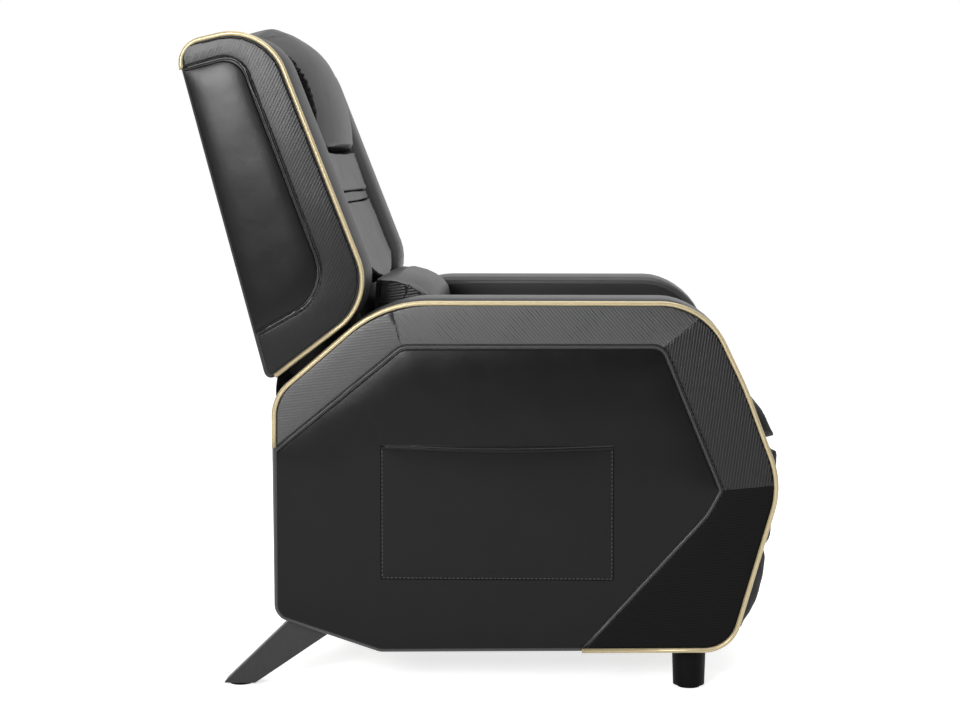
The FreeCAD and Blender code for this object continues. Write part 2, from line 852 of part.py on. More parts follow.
def seat_springs():
    """Sinuous springs from the front rail to the rear rail, each one wire bent to and fro."""
    x0 = seat_rear_x + seat_rail_width + spring_clip_depth
    x1 = seat_frame_front_x - seat_rail_width - spring_clip_depth
    step = (x1 - x0) / (seat_spring_bends + 1)
    z = seat_bottom_z - seat_frame_height / 2
    springs = []
    for row in spring_rows():
        last = V(x0, row, z)
        edges = []
        for k in range(seat_spring_bends + 1):
            side = seat_spring_half_width if k % 2 else -seat_spring_half_width
            x = x0 + (k + 0.5) * step
            reach = side - math.copysign(step / 2, side)
            a = V(x - step / 2, row + reach, z)
            b = V(x + step / 2, row + reach, z)
            edges.append(Part.makeLine(last, a))
            edges.append(Part.Arc(a, V(x, row + side, z), b).toShape())
            last = b
        edges.append(Part.makeLine(last, V(last.x, row, z)))
        springs.append(tube(Part.Wire(edges), seat_spring_wire))
    return Part.makeCompound(springs)


def spring_clips():
    """A clip on the rail at each end of each spring, cut out for the spring's last run."""
    z = seat_bottom_z - seat_frame_height / 2
    clips = []
    for row in spring_rows():
        for x, way in ((seat_rear_x + seat_rail_width, 1), (seat_frame_front_x - seat_rail_width, -1)):
            spring_x = x + way * spring_clip_depth
            far = spring_x + way * seat_spring_wire
            y0 = row - spring_clip_length / 2
            y1 = row + spring_clip_length / 2
            z0 = z - spring_clip_height / 2
            block = box(min(x, far), max(x, far), y0, y1, z0, z0 + spring_clip_height)
            groove = rod(spring_x, z, y0, y1, seat_spring_wire + 2 * thread_fit)
            clips.append(block.cut(groove))
    return Part.makeCompound(clips)


def seat_cushion():
    """The seat cushion: crowned from side to side, with a rolled front edge and sides drawn in."""
    half = arm_inner_y - seat_side_play
    wires = []
    for share in side_steps:
        drop = seat_crown * share ** 2 + seat_roll * share ** seat_fall
        top = seat_top_z + seat_crown - drop
        front = seat_front_x - drop
        corners = [
            (seat_rear_x, seat_bottom_z, body_round / 2),
            (seat_rear_x, top - seat_crown, body_round),
            (front, top - seat_crown, seat_nose_round - drop),
            (front - body_round / 2, seat_nose_z, body_round / 2),
            (seat_frame_front_x, seat_bottom_z, body_round / 2),
        ]
        wires.append(rounded_wire(corners, half * share))
    return loft(wires)


def right_back_arm():
    """The flat steel arm on the right of the backrest, from its bolts down past the hinge to the tail pin."""
    y0 = -back_half - back_arm_thickness
    y1 = -back_half
    turn = math.radians(rake)
    tops = []
    for v in (back_arm_top_v, back_arm_top_v - back_arm_bolt_step):
        x = pivot_x + back_arm_top_u * math.cos(turn) - v * math.sin(turn)
        z = pivot_z + back_arm_top_u * math.sin(turn) + v * math.cos(turn)
        tops.append((x, z))
    half = back_arm_width / 2
    arm = strip(tops[0], (pivot_x, pivot_z), half, y0, y1)
    arm = arm.fuse(strip((pivot_x, pivot_z), (tail_rest_x, tail_rest_z), half, y0, y1))
    arm = arm.cut(rod(pivot_x, pivot_z, y0 - fit, y1 + fit, pivot_diameter + 2 * running))
    for x, z in tops:
        arm = arm.cut(rod(x, z, y0 - fit, y1 + fit, back_arm_bolt_diameter + 2 * thread_fit))
    return arm.removeSplitter(), tops


def back_drive_pin():
    """The pin on the backrest's tail that pushes the seat plate, with a flat head inside the plate."""
    y1 = -plate_inner_y + fit
    pin = rod(tail_rest_x, tail_rest_z, -back_half, y1, tail_pin_diameter)
    head_diameter = tail_pin_diameter + 2 * rivet_head_height
    head = rod(tail_rest_x, tail_rest_z, y1, y1 + rivet_head_height, head_diameter)
    return pin.fuse(head).removeSplitter()


def back_arm_bolts():
    """The bolts from each steel arm into the backrest's uprights."""
    spots = right_back_arm()[1]
    head_y = -back_half - back_arm_thickness
    length = back_arm_thickness + back_wall + upright_width
    bolts = [bolt(x, head_y, z, V(0, 1, 0), length, back_arm_bolt_diameter) for x, z in spots]
    return Part.makeCompound(bolts + [mirrored(b) for b in bolts])


def back_arm_bolt_holes():
    """The holes for those bolts in the backrest's padding and uprights, on both sides."""
    holes = []
    for x, z in right_back_arm()[1]:
        y1 = -back_half + back_wall + upright_width + fit
        hole = rod(x, z, -back_half - fit, y1, back_arm_bolt_diameter + 2 * thread_fit)
        holes += [hole, mirrored(hole)]
    return holes


def upright_box(play):
    """The room that the right upright takes, with play all round."""
    y0 = -back_half + back_wall
    return box(
        upright_u - play,
        upright_u + upright_depth + play,
        y0 - play,
        y0 + upright_width + play,
        upright_bottom_v - play,
        body_top_v - back_wall - back_rail_height + play,
    )


def back_uprights():
    """The two upright posts of the backrest's frame."""
    upright = lean(upright_box(0))
    both = [upright, mirrored(upright)]
    return Part.makeCompound([u.cut(back_arm_bolt_holes()) for u in both])


def back_rail_levels():
    """The lower edge, along the back, of each rail between the uprights."""
    low = body_bottom_v + back_wall + fit
    high = body_top_v - back_wall - 2 * back_rail_height
    return [low, (low + high) / 2, high]


def back_rails():
    """The three rails between the uprights."""
    y1 = back_half - back_wall - upright_width
    rails = []
    for v in back_rail_levels():
        rails.append(lean(box(upright_u, upright_u + upright_depth, -y1, y1, v, v + back_rail_height)))
    return Part.makeCompound(rails)


def back_webbing():
    """Elastic straps across the front of the uprights."""
    u0 = upright_u + upright_depth
    y1 = back_half - back_wall - fit
    levels = back_rail_levels()
    step = (levels[-1] - levels[0]) / webbing_count
    straps = []
    for k in range(webbing_count):
        v = levels[0] + back_rail_height + k * step
        straps.append(lean(box(u0, u0 + webbing_thickness, -y1, y1, v, v + webbing_height)))
    return Part.makeCompound(straps)


def rib_boxes(play):
    """The two wooden ribs from the right upright out to the wing's board, with play all round."""
    y0 = -wing_board_y() + play
    y1 = -back_half + back_wall
    ribs = []
    for v in back_rail_levels()[1:]:
        low = v - wing_rib_height * 2
        ribs.append(
            box(
                upright_u - play,
                upright_u + upright_depth + play,
                y0 - 2 * play,
                y1,
                low - play,
                low + wing_rib_height + play,
            )
        )
    return ribs


def wing_board_y():
    """The inner face of a wing's board, from the middle of the chair."""
    return (back_half + wing_outer_y - wing_board) / 2


def wing_board_slab(play):
    """The board inside the right wing, with play all round."""
    y1 = -wing_board_y() + play
    return slab(inset(wing_corners, wing_board_inset - play), y1 - wing_board - 2 * play, y1)


def wing_boards():
    """The board in each wing and the ribs that carry it."""
    solids = [lean(wing_board_slab(0))] + [lean(rib) for rib in rib_boxes(0)]
    return Part.makeCompound(solids + [mirrored(s) for s in solids])


def back_body():
    """Padding and cover of the middle of the backrest, hollow for its frame, with the neck below."""
    rear = back_rear_u + back_panel_thickness
    corners = [
        (rear, body_bottom_v, body_round / 2),
        (rear, body_top_v, body_round * 2),
        (body_top_front_u, body_top_v - body_round, body_round * 2),
        (body_low_front_u, body_low_front_v, body_round),
        (neck_front_u, neck_front_v, body_round),
        (neck_low_u, neck_low_v, body_round),
        (neck_rear_u, neck_rear_v, body_round),
        (neck_back_u, neck_back_v, body_round),
    ]
    body = slab(corners, -back_half, back_half)
    inner = back_half - back_wall
    room = box(
        rear - fit,
        upright_u + upright_depth + webbing_thickness + fit,
        -inner,
        inner,
        body_bottom_v + back_wall,
        body_top_v - back_wall - back_rail_height + fit,
    )
    upright = upright_box(fit)
    cuts = [room, upright, mirrored(upright)]
    for rib in rib_boxes(fit):
        cuts += [rib, mirrored(rib)]
    body = lean(body.cut(cuts))
    return body.cut(back_arm_bolt_holes())


def back_outer_panel():
    """The stiff cover at the rear of the backrest."""
    return lean(
        box(
            back_rear_u,
            back_rear_u + back_panel_thickness,
            -back_half,
            back_half,
            body_bottom_v + body_round,
            body_top_v - body_round,
        )
    )


def wing_outline(forward):
    """The wing's outline with its front edge moved forward."""
    corners = list(wing_corners)
    corners[1] = (wing_top_front_u + forward, wing_top_front_v, wing_top_front_round)
    corners[2] = (wing_low_front_u + forward, wing_low_front_v, wing_low_front_round)
    return corners


def right_wing():
    """The right wing: a bolster that swells forward between its piped outer edge and its inner side."""
    sections = [(wing_outer_y, inset(wing_corners, wing_edge))]
    swell_y = wing_outer_y - wing_edge
    for share in wing_steps:
        forward = wing_crown * math.sin(math.pi * share) - wing_roll * share ** wing_fall
        sections.append((swell_y + (back_half - swell_y) * share, wing_outline(forward)))
    wing = loft([rounded_wire(corners, -y) for y, corners in sections])
    return lean(wing.cut([wing_board_slab(fit)] + rib_boxes(fit)))


def wing_piping():
    """The gold cord round the outer edge of the right wing."""
    edge = inset(wing_corners, wing_piping_sunk)
    low = edge[3]
    top = edge[0]
    down = (top[1] - wing_piping_start_v) / (top[1] - low[1])
    start = (top[0] + (low[0] - top[0]) * down, wing_piping_start_v, 0)
    near = edge[2]
    run = math.hypot(near[0] - low[0], near[1] - low[1])
    share = (wing_low_rear_round + piping_diameter / 2) / run
    end = (low[0] + (near[0] - low[0]) * share, low[1] + (near[1] - low[1]) * share, 0)
    path = rounded_path([start] + edge[0:3] + [end], -wing_outer_y + wing_piping_sunk)
    return lean(tube(path, piping_diameter))


def front_u(v):
    """How far forward the backrest's body stands at a height up the back."""
    share = (v - body_low_front_v) / (body_top_v - body_round - body_low_front_v)
    return body_low_front_u + (body_top_front_u - body_low_front_u) * share


def fullness(share, fall, end_share):
    """How full a cushion is at a share of its half width: 1 in the middle, and end_share at its ends."""
    return 1 - (1 - end_share) * abs(share) ** fall


def bowed(start, end, rise):
    """An arc across a cushion that bows out to the left of the way from start to end."""
    along = end - start
    left = V(-along.z, 0, along.x)
    left.normalize()
    return Part.Arc(start, (start + end) * 0.5 + left * rise, end).toShape()


def pad(v0, height, edge, crown, sweep):
    """A pad on the front of the backrest, crowned both ways, whose lower edge sweeps up at the sides."""
    wires = []
    for share in side_steps:
        rise = sweep * share ** 2
        low = v0 + rise
        top = v0 + height
        middle = (low + top) / 2
        y = pad_width / 2 * share
        thick = edge * fullness(share, pad_fall, pad_end_share)
        bulge = crown * fullness(share, pad_fall, pad_end_crown)
        a = V(front_u(low) + fit, y, low)
        b = V(front_u(top) + fit, y, top)
        c = V(front_u(top) + fit + thick, y, top)
        d = V(front_u(middle) + fit + thick + bulge, y, middle)
        e = V(front_u(low) + fit + thick, y, low)
        edges = [Part.makeLine(a, b), Part.makeLine(b, c)]
        edges += [Part.Arc(c, d, e).toShape(), Part.makeLine(e, a)]
        wires.append(Part.Wire(edges))
    return lean(loft(wires))


# Heights of the pads up the back
band_v = lower_pad_v + lower_pad_height + pad_gap
upper_pad_v = band_v + band_height + pad_gap
headrest_v = upper_pad_v + upper_pad_height + pad_gap


def headrest_pillow():
    """The headrest pillow: full above the nape, and thinning towards the top of the back."""
    top = headrest_v + headrest_height
    bulge_v = headrest_v + headrest_height * headrest_bulge_share
    wires = []
    for share in side_steps:
        y = headrest_width / 2 * share
        full = fullness(share, pad_fall, headrest_end_share)
        a = V(front_u(headrest_v) + fit, y, headrest_v)
        b = V(front_u(top) + fit, y, top)
        c = V(b.x + headrest_top_edge * full, y, top)
        bulge = front_u(bulge_v) + fit + headrest_bulge * full
        e = V(a.x + headrest_low_edge * full, y, headrest_v)
        edges = [Part.makeLine(a, b), Part.makeLine(b, c)]
        edges += [Part.Arc(c, V(bulge, y, bulge_v), e).toShape(), Part.makeLine(e, a)]
        wires.append(Part.Wire(edges))
    return lean(loft(wires))


def lumbar_pillow():
    """The loose pillow that stands on the seat against the foot of the backrest."""
    turn = math.radians(rake)
    neck_x = pivot_x + body_low_front_u * math.cos(turn) - body_low_front_v * math.sin(turn)
    pad_x = neck_x + (lower_pad_edge + lower_pad_crown) * math.cos(turn)
    x0 = pad_x + lumbar_clear
    z0 = seat_top_z + fit
    wires = []
    for share in side_steps:
        shrink = fullness(share, lumbar_fall, lumbar_end_share)
        y = lumbar_width / 2 * share
        depth = lumbar_depth * shrink
        crown = lumbar_crown * shrink
        top = z0 + lumbar_height * (1 + shrink) / 2
        a = V(x0, y, z0)
        b = V(x0, y, top - crown / 2)
        c = V(x0 + depth / 2, y, top)
        d = V(x0 + depth, y, top - crown)
        e = V(x0 + depth + crown / 2, y, z0 + crown)
        g = V(x0 + depth, y, z0)
        bend = V(x0 + depth + crown, y, (z0 + top) / 2)
        edges = [Part.makeLine(a, b)]
        edges += [bowed(b, c, lumbar_bow * shrink), bowed(c, d, lumbar_bow * shrink)]
        edges += [Part.Arc(d, bend, e).toShape(), Part.makeLine(e, g), Part.makeLine(g, a)]
        wires.append(Part.Wire(edges))
    return loft(wires)


def front_link():
    """The right front link, a bent bar with the crank for the control link at its lower end."""
    points = [front_top, front_low, front_crank]
    return bar(points, link_half_width, -link_outer_y, -link_inner_y, rivet_diameter + 2 * running)


def crank_pin():
    """The pin from the right front link's crank across to the control link."""
    x, z = front_crank
    pin = rod(x, z, -link_outer_y, -control_inner_y + fit, rivet_diameter)
    near = rod(x, z, -link_outer_y - rivet_head_height, -link_outer_y, rivet_head_diameter)
    y1 = -control_inner_y + fit
    far = rod(x, z, y1, y1 + rivet_head_height, rivet_head_diameter)
    return pin.fuse([near, far]).removeSplitter()


def rear_link():
    """The right rear link, a straight bar."""
    points = [rear_top, rear_low]
    return bar(points, link_half_width, -link_outer_y, -link_inner_y, rivet_diameter + 2 * running)


def carrier():
    """The right carrier: the bent bar that the links push forward and the footrest hangs from."""
    points = [rear_low, front_low, footrest_hinge]
    return bar(points, carrier_half_width, -carrier_outer_y, -carrier_inner_y, rivet_diameter + 2 * running)


def carrier_tube():
    """The tube that makes both carriers move as one."""
    x = (rear_low[0] + front_low[0]) / 2
    return rod(x, rear_low[1], -carrier_inner_y, carrier_inner_y, carrier_tube_diameter)


def carrier_rivets():
    """The rivets between links and carriers."""
    rivets = [rivet(x, z, -link_outer_y - fit, -carrier_inner_y) for x, z in (rear_low, front_low)]
    return Part.makeCompound(rivets + [mirrored(r) for r in rivets])


def control_link():
    """The right control link, which turns the footrest as the carrier moves out."""
    points = [front_crank, footrest_crank]
    return bar(points, link_half_width, -control_outer_y, -control_inner_y, rivet_diameter + 2 * running)


def footrest_bracket():
    """The right bracket: a flat bar with the two pivots and a flange against the footrest's board."""
    plate = strip(footrest_hinge, footrest_crank, carrier_half_width, -bracket_outer_y, -bracket_inner_y)
    reach = 2 * crank_length
    web = box(0, footrest_back, -bracket_outer_y, -bracket_inner_y, -reach, carrier_half_width)
    flange_y = -bracket_outer_y + footrest_flange
    flange = box(
        footrest_back - bar_thickness, footrest_back, -bracket_outer_y, flange_y, -reach, carrier_half_width
    )
    bracket = plate.fuse(tip_footrest(web.fuse(flange)))
    for x, z in (footrest_hinge, footrest_crank):
        bracket = bracket.cut(rod(x, z, -bracket_outer_y - fit, -bracket_inner_y + fit, rivet_diameter))
    x, z = footrest_crank
    link_room = rod(x, z, -bracket_inner_y, flange_y + fit, 2 * carrier_half_width)
    head_room = rod(hinge_x, hinge_z, -bracket_inner_y, flange_y + fit, rivet_head_diameter + 2 * bar_gap)
    return bracket.cut([link_room, head_room]).removeSplitter()


def footrest_rivets():
    """The rivets of the footrest's hinges and of its control links."""
    hinge = rivet(hinge_x, hinge_z, -carrier_outer_y - fit, -bracket_inner_y)
    crank = rivet(footrest_crank[0], footrest_crank[1], -bracket_outer_y, -control_inner_y + fit)
    return Part.makeCompound([hinge, crank, mirrored(hinge), mirrored(crank)])


def footrest_panel():
    """The board behind the footrest's pad."""
    half = arm_inner_y - footrest_side_play - footrest_board
    low = footrest_top - footrest_length
    return tip_footrest(box(footrest_back, footrest_back + footrest_board, -half, half, low, footrest_top))


def footrest_pad():
    """The footrest's pad: crowned both ways, with rounded ends and drawn-in sides."""
    x0 = footrest_back + footrest_board
    half = arm_inner_y - footrest_side_play
    low = footrest_top - footrest_length - footrest_board / 2
    top = footrest_top + footrest_board / 2
    wires = []
    for share in side_steps:
        thick = footrest_edge * fullness(share, footrest_fall, footrest_end_share)
        bulge = footrest_crown * fullness(share, footrest_fall, footrest_end_crown)
        y = half * share
        a = V(x0, y, low)
        b = V(x0, y, top)
        c = V(x0 + thick, y, top - footrest_board)
        d = V(x0 + thick, y, low + footrest_board)
        front = V(x0 + thick + bulge, y, (low + top) / 2)
        edges = [Part.makeLine(a, b), bowed(b, c, footrest_bow)]
        edges += [Part.Arc(c, front, d).toShape(), bowed(d, a, footrest_bow)]
        wires.append(Part.Wire(edges))
    return tip_footrest(loft(wires))


def save(name, shape):
    """Write one piece, or one group of like pieces, to its own file."""
    solids = shape.Solids
    if not solids or not all(s.isValid() and s.Volume > 0 for s in solids):
        raise RuntimeError("bad solid in " + name)
    shape.exportStep("parts/" + name + ".step")


def save_pair(name, shape):
    """Write a right piece and its left twin as two files."""
    save("right_" + name, shape)
    save("left_" + name, mirrored(shape))


def main():
    """Make every piece of the recliner."""
    os.makedirs("parts", exist_ok=True)
    save_pair("arm_frame", right_arm_frame())
    save_pair("arm_cover", right_arm_cover())
    save_pair("arm_piping", arm_piping(piping_diameter))
    save("side_pocket", side_pocket())
    save_pair("front_leg", right_front_leg())
    save_pair("rear_leg", right_rear_leg())
    save("foot_glides", foot_glides())
    save("leg_bolts", leg_bolts())
    save("front_rail", low_rail(front_rail_x, front_rail_bolt))
    save("middle_rail", low_rail(middle_rail_x, middle_rail_bolt))
    save("rear_rail", rear_rail())
    save("rail_bolts", rail_bolts())
    save("rear_panel", rear_panel())
    save("dust_cover", dust_cover())
    save("rear_gusset", rear_gusset())
    save("seat_tracks", pair(seat_track()))
    save("back_brackets", pair(back_bracket()))
    save("back_pivot_pins", pair(back_pivot_pin()))
    save("seat_side_rails", pair(seat_side_rail()))
    save("seat_cross_rails", seat_cross_rails())
    save("seat_springs", seat_springs())
    save("spring_clips", spring_clips())
    save("seat_cushion", seat_cushion())
    save("seat_plates", pair(seat_plate()))
    save("seat_runners", pair(seat_runner()))
    save("seat_rivets", seat_rivets())
    save("back_uprights", back_uprights())
    save("back_rails", back_rails())
    save("back_webbing", back_webbing())
    save("back_body", back_body())
    save("back_outer_panel", back_outer_panel())
    save_pair("wing", right_wing())
    save("wing_boards", wing_boards())
    save_pair("wing_piping", wing_piping())
    lower_pad = pad(lower_pad_v, lower_pad_height, lower_pad_edge, lower_pad_crown, lower_pad_sweep)
    save("lower_back_pad", lower_pad)
    save("back_pad_band", pad(band_v, band_height, band_edge, band_crown, 0))
    save("upper_back_pad", pad(upper_pad_v, upper_pad_height, upper_pad_edge, upper_pad_crown, 0))
    save("headrest_pillow", headrest_pillow())
    save("back_arms", pair(right_back_arm()[0]))
    save("back_drive_pins", pair(back_drive_pin()))
    save("back_arm_bolts", back_arm_bolts())
    save("lumbar_pillow", lumbar_pillow())
    save("front_links", pair(front_link()))
    save("crank_pins", pair(crank_pin()))
    save("rear_links", pair(rear_link()))
    save("footrest_carriers", pair(carrier()))
    save("carrier_tube", carrier_tube())
    save("carrier_rivets", carrier_rivets())
    save("control_links", pair(control_link()))
    save("footrest_brackets", pair(footrest_bracket()))
    save("footrest_board", footrest_panel())
    save("footrest_pad", footrest_pad())
    save("footrest_rivets", footrest_rivets())
    print("hinge of the back", pivot_x, pivot_z, "seat travel", round(seat_travel, 3))
    print("front link pivots", front_top, front_low, front_crank)
    print("rear link pivots", rear_top, rear_low)
    print("footrest pivots", footrest_hinge, footrest_crank)


main()
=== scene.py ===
"""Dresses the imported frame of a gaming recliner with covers, piping, stitches and cushions, in a studio.

Lengths are in metres. +X is the way the sitter faces, +Y is the sitter's left and +Z is up. Cut pieces of the
arms are drawn in (x, z). Cut pieces of the back are drawn in (u, v), where v runs up the back from its hinge
and u forwards.
"""
import json
import logging
import math
from dataclasses import dataclass
from enum import Enum
from typing import Callable, Optional, Sequence, Union

import bmesh
import bpy
import numpy as np
from mathutils import Matrix, Vector, noise
from mathutils.bvhtree import BVHTree
from mathutils.geometry import intersect_line_line


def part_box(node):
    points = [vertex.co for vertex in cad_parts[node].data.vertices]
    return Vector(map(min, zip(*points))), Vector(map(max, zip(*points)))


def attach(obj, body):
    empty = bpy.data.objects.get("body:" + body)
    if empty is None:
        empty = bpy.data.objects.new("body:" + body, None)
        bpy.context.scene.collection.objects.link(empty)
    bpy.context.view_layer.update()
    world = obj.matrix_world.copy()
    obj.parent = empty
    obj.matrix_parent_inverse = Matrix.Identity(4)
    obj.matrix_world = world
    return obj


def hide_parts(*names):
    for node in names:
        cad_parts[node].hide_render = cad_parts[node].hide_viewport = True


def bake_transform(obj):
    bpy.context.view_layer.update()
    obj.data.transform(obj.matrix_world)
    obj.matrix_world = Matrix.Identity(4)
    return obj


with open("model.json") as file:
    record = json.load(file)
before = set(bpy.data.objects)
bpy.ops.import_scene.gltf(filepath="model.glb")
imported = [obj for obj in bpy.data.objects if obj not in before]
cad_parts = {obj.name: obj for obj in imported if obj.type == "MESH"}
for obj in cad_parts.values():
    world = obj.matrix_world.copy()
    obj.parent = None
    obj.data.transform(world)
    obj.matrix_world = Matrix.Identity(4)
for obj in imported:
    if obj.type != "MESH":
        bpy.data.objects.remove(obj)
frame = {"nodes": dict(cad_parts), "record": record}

Corner = tuple[float, float, float]
Colour = tuple[float, float, float]
Point = tuple[float, float]
Range = tuple[float, float]
Line = tuple[Sequence[float], Sequence[float]]
Move = Callable[[np.ndarray, np.ndarray], np.ndarray]
Lay = Callable[[Vector], tuple[Vector, Vector]]

BACK_HINGE = (-0.236, 0.0, 0.384)
BACK_RAKE = math.radians(16.4)
BACK = Matrix.Translation(BACK_HINGE) @ Matrix.Rotation(-BACK_RAKE, 4, "Y")
FACING_IN = Matrix.Diagonal((1.0, -1.0, 1.0, 1.0))
TOWARDS_RIGHT = Vector((0.0, -1.0, 0.0))
HIDE = "smooth_leather"
CLOTH = "black_cloth"
CUTS_IN_A_RIB = 3
QUARTER_TURN = 90.0
NEAR = 1e-6
MERGE_REACH = 1e-5
TINY = 1e-9

log = logging.getLogger("recliner")


class Side(Enum):
    """A side of the recliner, as the sitter has it."""

    RIGHT = "right"
    LEFT = "left"

    @property
    def flip(self) -> Matrix:
        """The matrix that takes a piece drawn for the right side to this side."""
        return FACING_IN if self is Side.LEFT else Matrix.Identity(4)


class Shader:
    """A node material in the making, where one_band is the wave pattern's scale at a pitch of 1."""

    one_band = math.pi / 10.0

    def __init__(self, name: str) -> None:
        """Starts an empty material of the given name."""
        self.material = bpy.data.materials.new(name)
        self.material.use_nodes = True
        self.tree = self.material.node_tree
        self.surface = self.tree.nodes["Principled BSDF"]
        self.place = self.add("ShaderNodeTexCoord").outputs["Object"]

    def add(self, kind: str, sockets: Optional[dict[str, object]] = None,
            **settings: object) -> bpy.types.Node:
        """Adds a node.

        Args:
            kind: The node's type.
            sockets: Values or sockets for its inputs, by name.
            settings: Its own settings.

        Returns:
            The node.
        """
        node = self.tree.nodes.new(kind)
        for name, value in settings.items():
            setattr(node, name, value)
        for name, value in (sockets or {}).items():
            self.feed(node.inputs[name], value)
        return node

    def feed(self, socket: bpy.types.NodeSocket, value: object) -> None:
        """Links a socket to another one, or sets it to a plain value."""
        if isinstance(value, bpy.types.NodeSocket):
            self.tree.links.new(value, socket)
        else:
            socket.default_value = value

    def set(self, **values: object) -> None:
        """Sets the surface's inputs, with spaces in their names written as underscores."""
        for name, value in values.items():
            self.feed(self.surface.inputs[name.replace("_", " ")], value)

    def cloud(self, size: float, detail: float = 2.0,
              vector: Optional[bpy.types.NodeSocket] = None) -> bpy.types.NodeSocket:
        """A soft random pattern whose blotches are about the given size across."""
        sockets = {"Vector": vector or self.place, "Scale": 1.0 / size, "Detail": detail}
        return self.add("ShaderNodeTexNoise", sockets).outputs["Fac"]

    def turned(self, angle: float) -> bpy.types.NodeSocket:
        """Object coordinates turned about Y by an angle in degrees."""
        turn = (0.0, math.radians(angle), 0.0)
        return self.add("ShaderNodeMapping", {"Vector": self.place, "Rotation": turn}).outputs["Vector"]

    def bands(self, pitch: float, vector: bpy.types.NodeSocket, axis: str = "X") -> bpy.types.NodeSocket:
        """Rounded bands across one axis of a vector, a given pitch apart."""
        sockets = {"Vector": vector, "Scale": self.one_band / pitch}
        return self.add("ShaderNodeTexWave", sockets, bands_direction=axis).outputs["Fac"]

    def spread(self, value: bpy.types.NodeSocket, low: float, high: float) -> bpy.types.NodeSocket:
        """A value from 0 to 1 spread between two others."""
        sockets = {"Value": value, "To Min": low, "To Max": high}
        return self.add("ShaderNodeMapRange", sockets).outputs["Result"]

    def tint(self, value: bpy.types.NodeSocket, dark: Sequence[float],
             light: Sequence[float]) -> bpy.types.NodeSocket:
        """A colour between two others, by a value from 0 to 1."""
        ramp = self.add("ShaderNodeValToRGB", {"Fac": value})
        ramp.color_ramp.elements[0].color = (*dark, 1.0)
        ramp.color_ramp.elements[1].color = (*light, 1.0)
        return ramp.outputs["Color"]

    def bump(self, height: bpy.types.NodeSocket, depth: float, strength: float,
             under: Optional[bpy.types.NodeSocket] = None) -> bpy.types.NodeSocket:
        """A normal raised by a height pattern.

        Args:
            height: The pattern, from 0 to 1.
            depth: How far it rises.
            strength: How strongly it shows.
            under: The normal that it is laid on.

        Returns:
            The new normal.
        """
        node = self.add("ShaderNodeBump", {"Height": height, "Distance": depth, "Strength": strength})
        if under:
            self.feed(node.inputs["Normal"], under)
        return node.outputs["Normal"]


def shades(colour: Sequence[float], low: float, high: float) -> tuple[tuple[float, ...], tuple[float, ...]]:
    """A darker and a lighter version of a colour."""
    return tuple(c * low for c in colour), tuple(c * high for c in colour)


@dataclass(frozen=True)
class Leather:
    """Black leatherette with a fine grain, pressed into ribs where it has a rib pitch, with painted shade in
    the ribs' grooves and painted light on their crests.
    """

    name: str
    colour: Colour = (0.0055, 0.0055, 0.0058)
    gloss: float = 0.23
    shine: float = 0.12
    rib_pitch: float = 0.0
    rib_angle: float = 0.0
    rib_depth: float = 0.0007
    # How much darker the rib grooves and lighter the crests are painted: painted shade and light.
    rib_shade_contrast: float = 0.4
    grain: float = 0.0013
    grain_depth: float = 0.00012
    grain_strength: float = 0.2
    rib_grain_strength: float = 0.03
    dimple: float = 0.016
    dimple_depth: float = 0.0006
    dimple_strength: float = 0.16
    mottle: float = 0.045
    tone_spread: Range = (0.86, 1.14)
    polish: float = 0.03
    polishing: Range = (-0.03, 0.05)
    detail: float = 3.0
    sheen: float = 0.01
    sheen_gloss: float = 0.5

    def make(self) -> bpy.types.Material:
        """Builds the material."""
        shader = Shader(self.name)
        cells = shader.add("ShaderNodeTexVoronoi", {"Vector": shader.place, "Scale": 1.0 / self.grain})
        grain = cells.outputs["Distance"]
        if self.rib_pitch:
            # Painted shade and light: the colour darkens and lightens in stripes along the ribs.
            dark, light = shades(self.colour, 1.0 - self.rib_shade_contrast, 1.0 + self.rib_shade_contrast)
            tone = shader.bands(self.rib_pitch, shader.turned(self.rib_angle + QUARTER_TURN))
            normal = shader.bump(grain, self.grain_depth, self.rib_grain_strength)
            gloss = self.gloss
        else:
            dark, light = shades(self.colour, *self.tone_spread)
            tone = shader.cloud(self.mottle, self.detail)
            dimples = shader.bump(shader.cloud(self.dimple), self.dimple_depth, self.dimple_strength)
            normal = shader.bump(grain, self.grain_depth, self.grain_strength, dimples)
            shiny, dull = self.polishing
            polish = shader.cloud(self.polish, self.detail)
            gloss = shader.spread(polish, self.gloss + shiny, self.gloss + dull)
        shader.set(Base_Color=shader.tint(tone, dark, light), Roughness=gloss, Normal=normal)
        shader.set(Specular_IOR_Level=self.shine, Sheen_Weight=self.sheen, Sheen_Roughness=self.sheen_gloss)
        return shader.material


@dataclass(frozen=True)
class Cord:
    """Gold vinyl drawn round a cord, with a fine weave showing through."""

    name: str
    colour: Colour = (0.42, 0.345, 0.20)
    weave: float = 0.0011
    weave_angle: float = 35.0
    weave_depth: float = 0.00008
    weave_strength: float = 0.15
    dent: float = 0.02
    dent_depth: float = 0.0003
    dent_strength: float = 0.05
    mottle: float = 0.012
    tone_spread: Range = (0.95, 1.05)
    polish: float = 0.008
    gloss: Range = (0.27, 0.33)
    metal: float = 0.3

    def make(self) -> bpy.types.Material:
        """Builds the material."""
        shader = Shader(self.name)
        weave = shader.bands(self.weave, shader.turned(self.weave_angle))
        dark, light = shades(self.colour, *self.tone_spread)
        dents = shader.bump(shader.cloud(self.dent), self.dent_depth, self.dent_strength)
        normal = shader.bump(weave, self.weave_depth, self.weave_strength, dents)
        shader.set(Base_Color=shader.tint(shader.cloud(self.mottle), dark, light), Normal=normal)
        shader.set(Roughness=shader.spread(shader.cloud(self.polish), *self.gloss), Metallic=self.metal)
        return shader.material


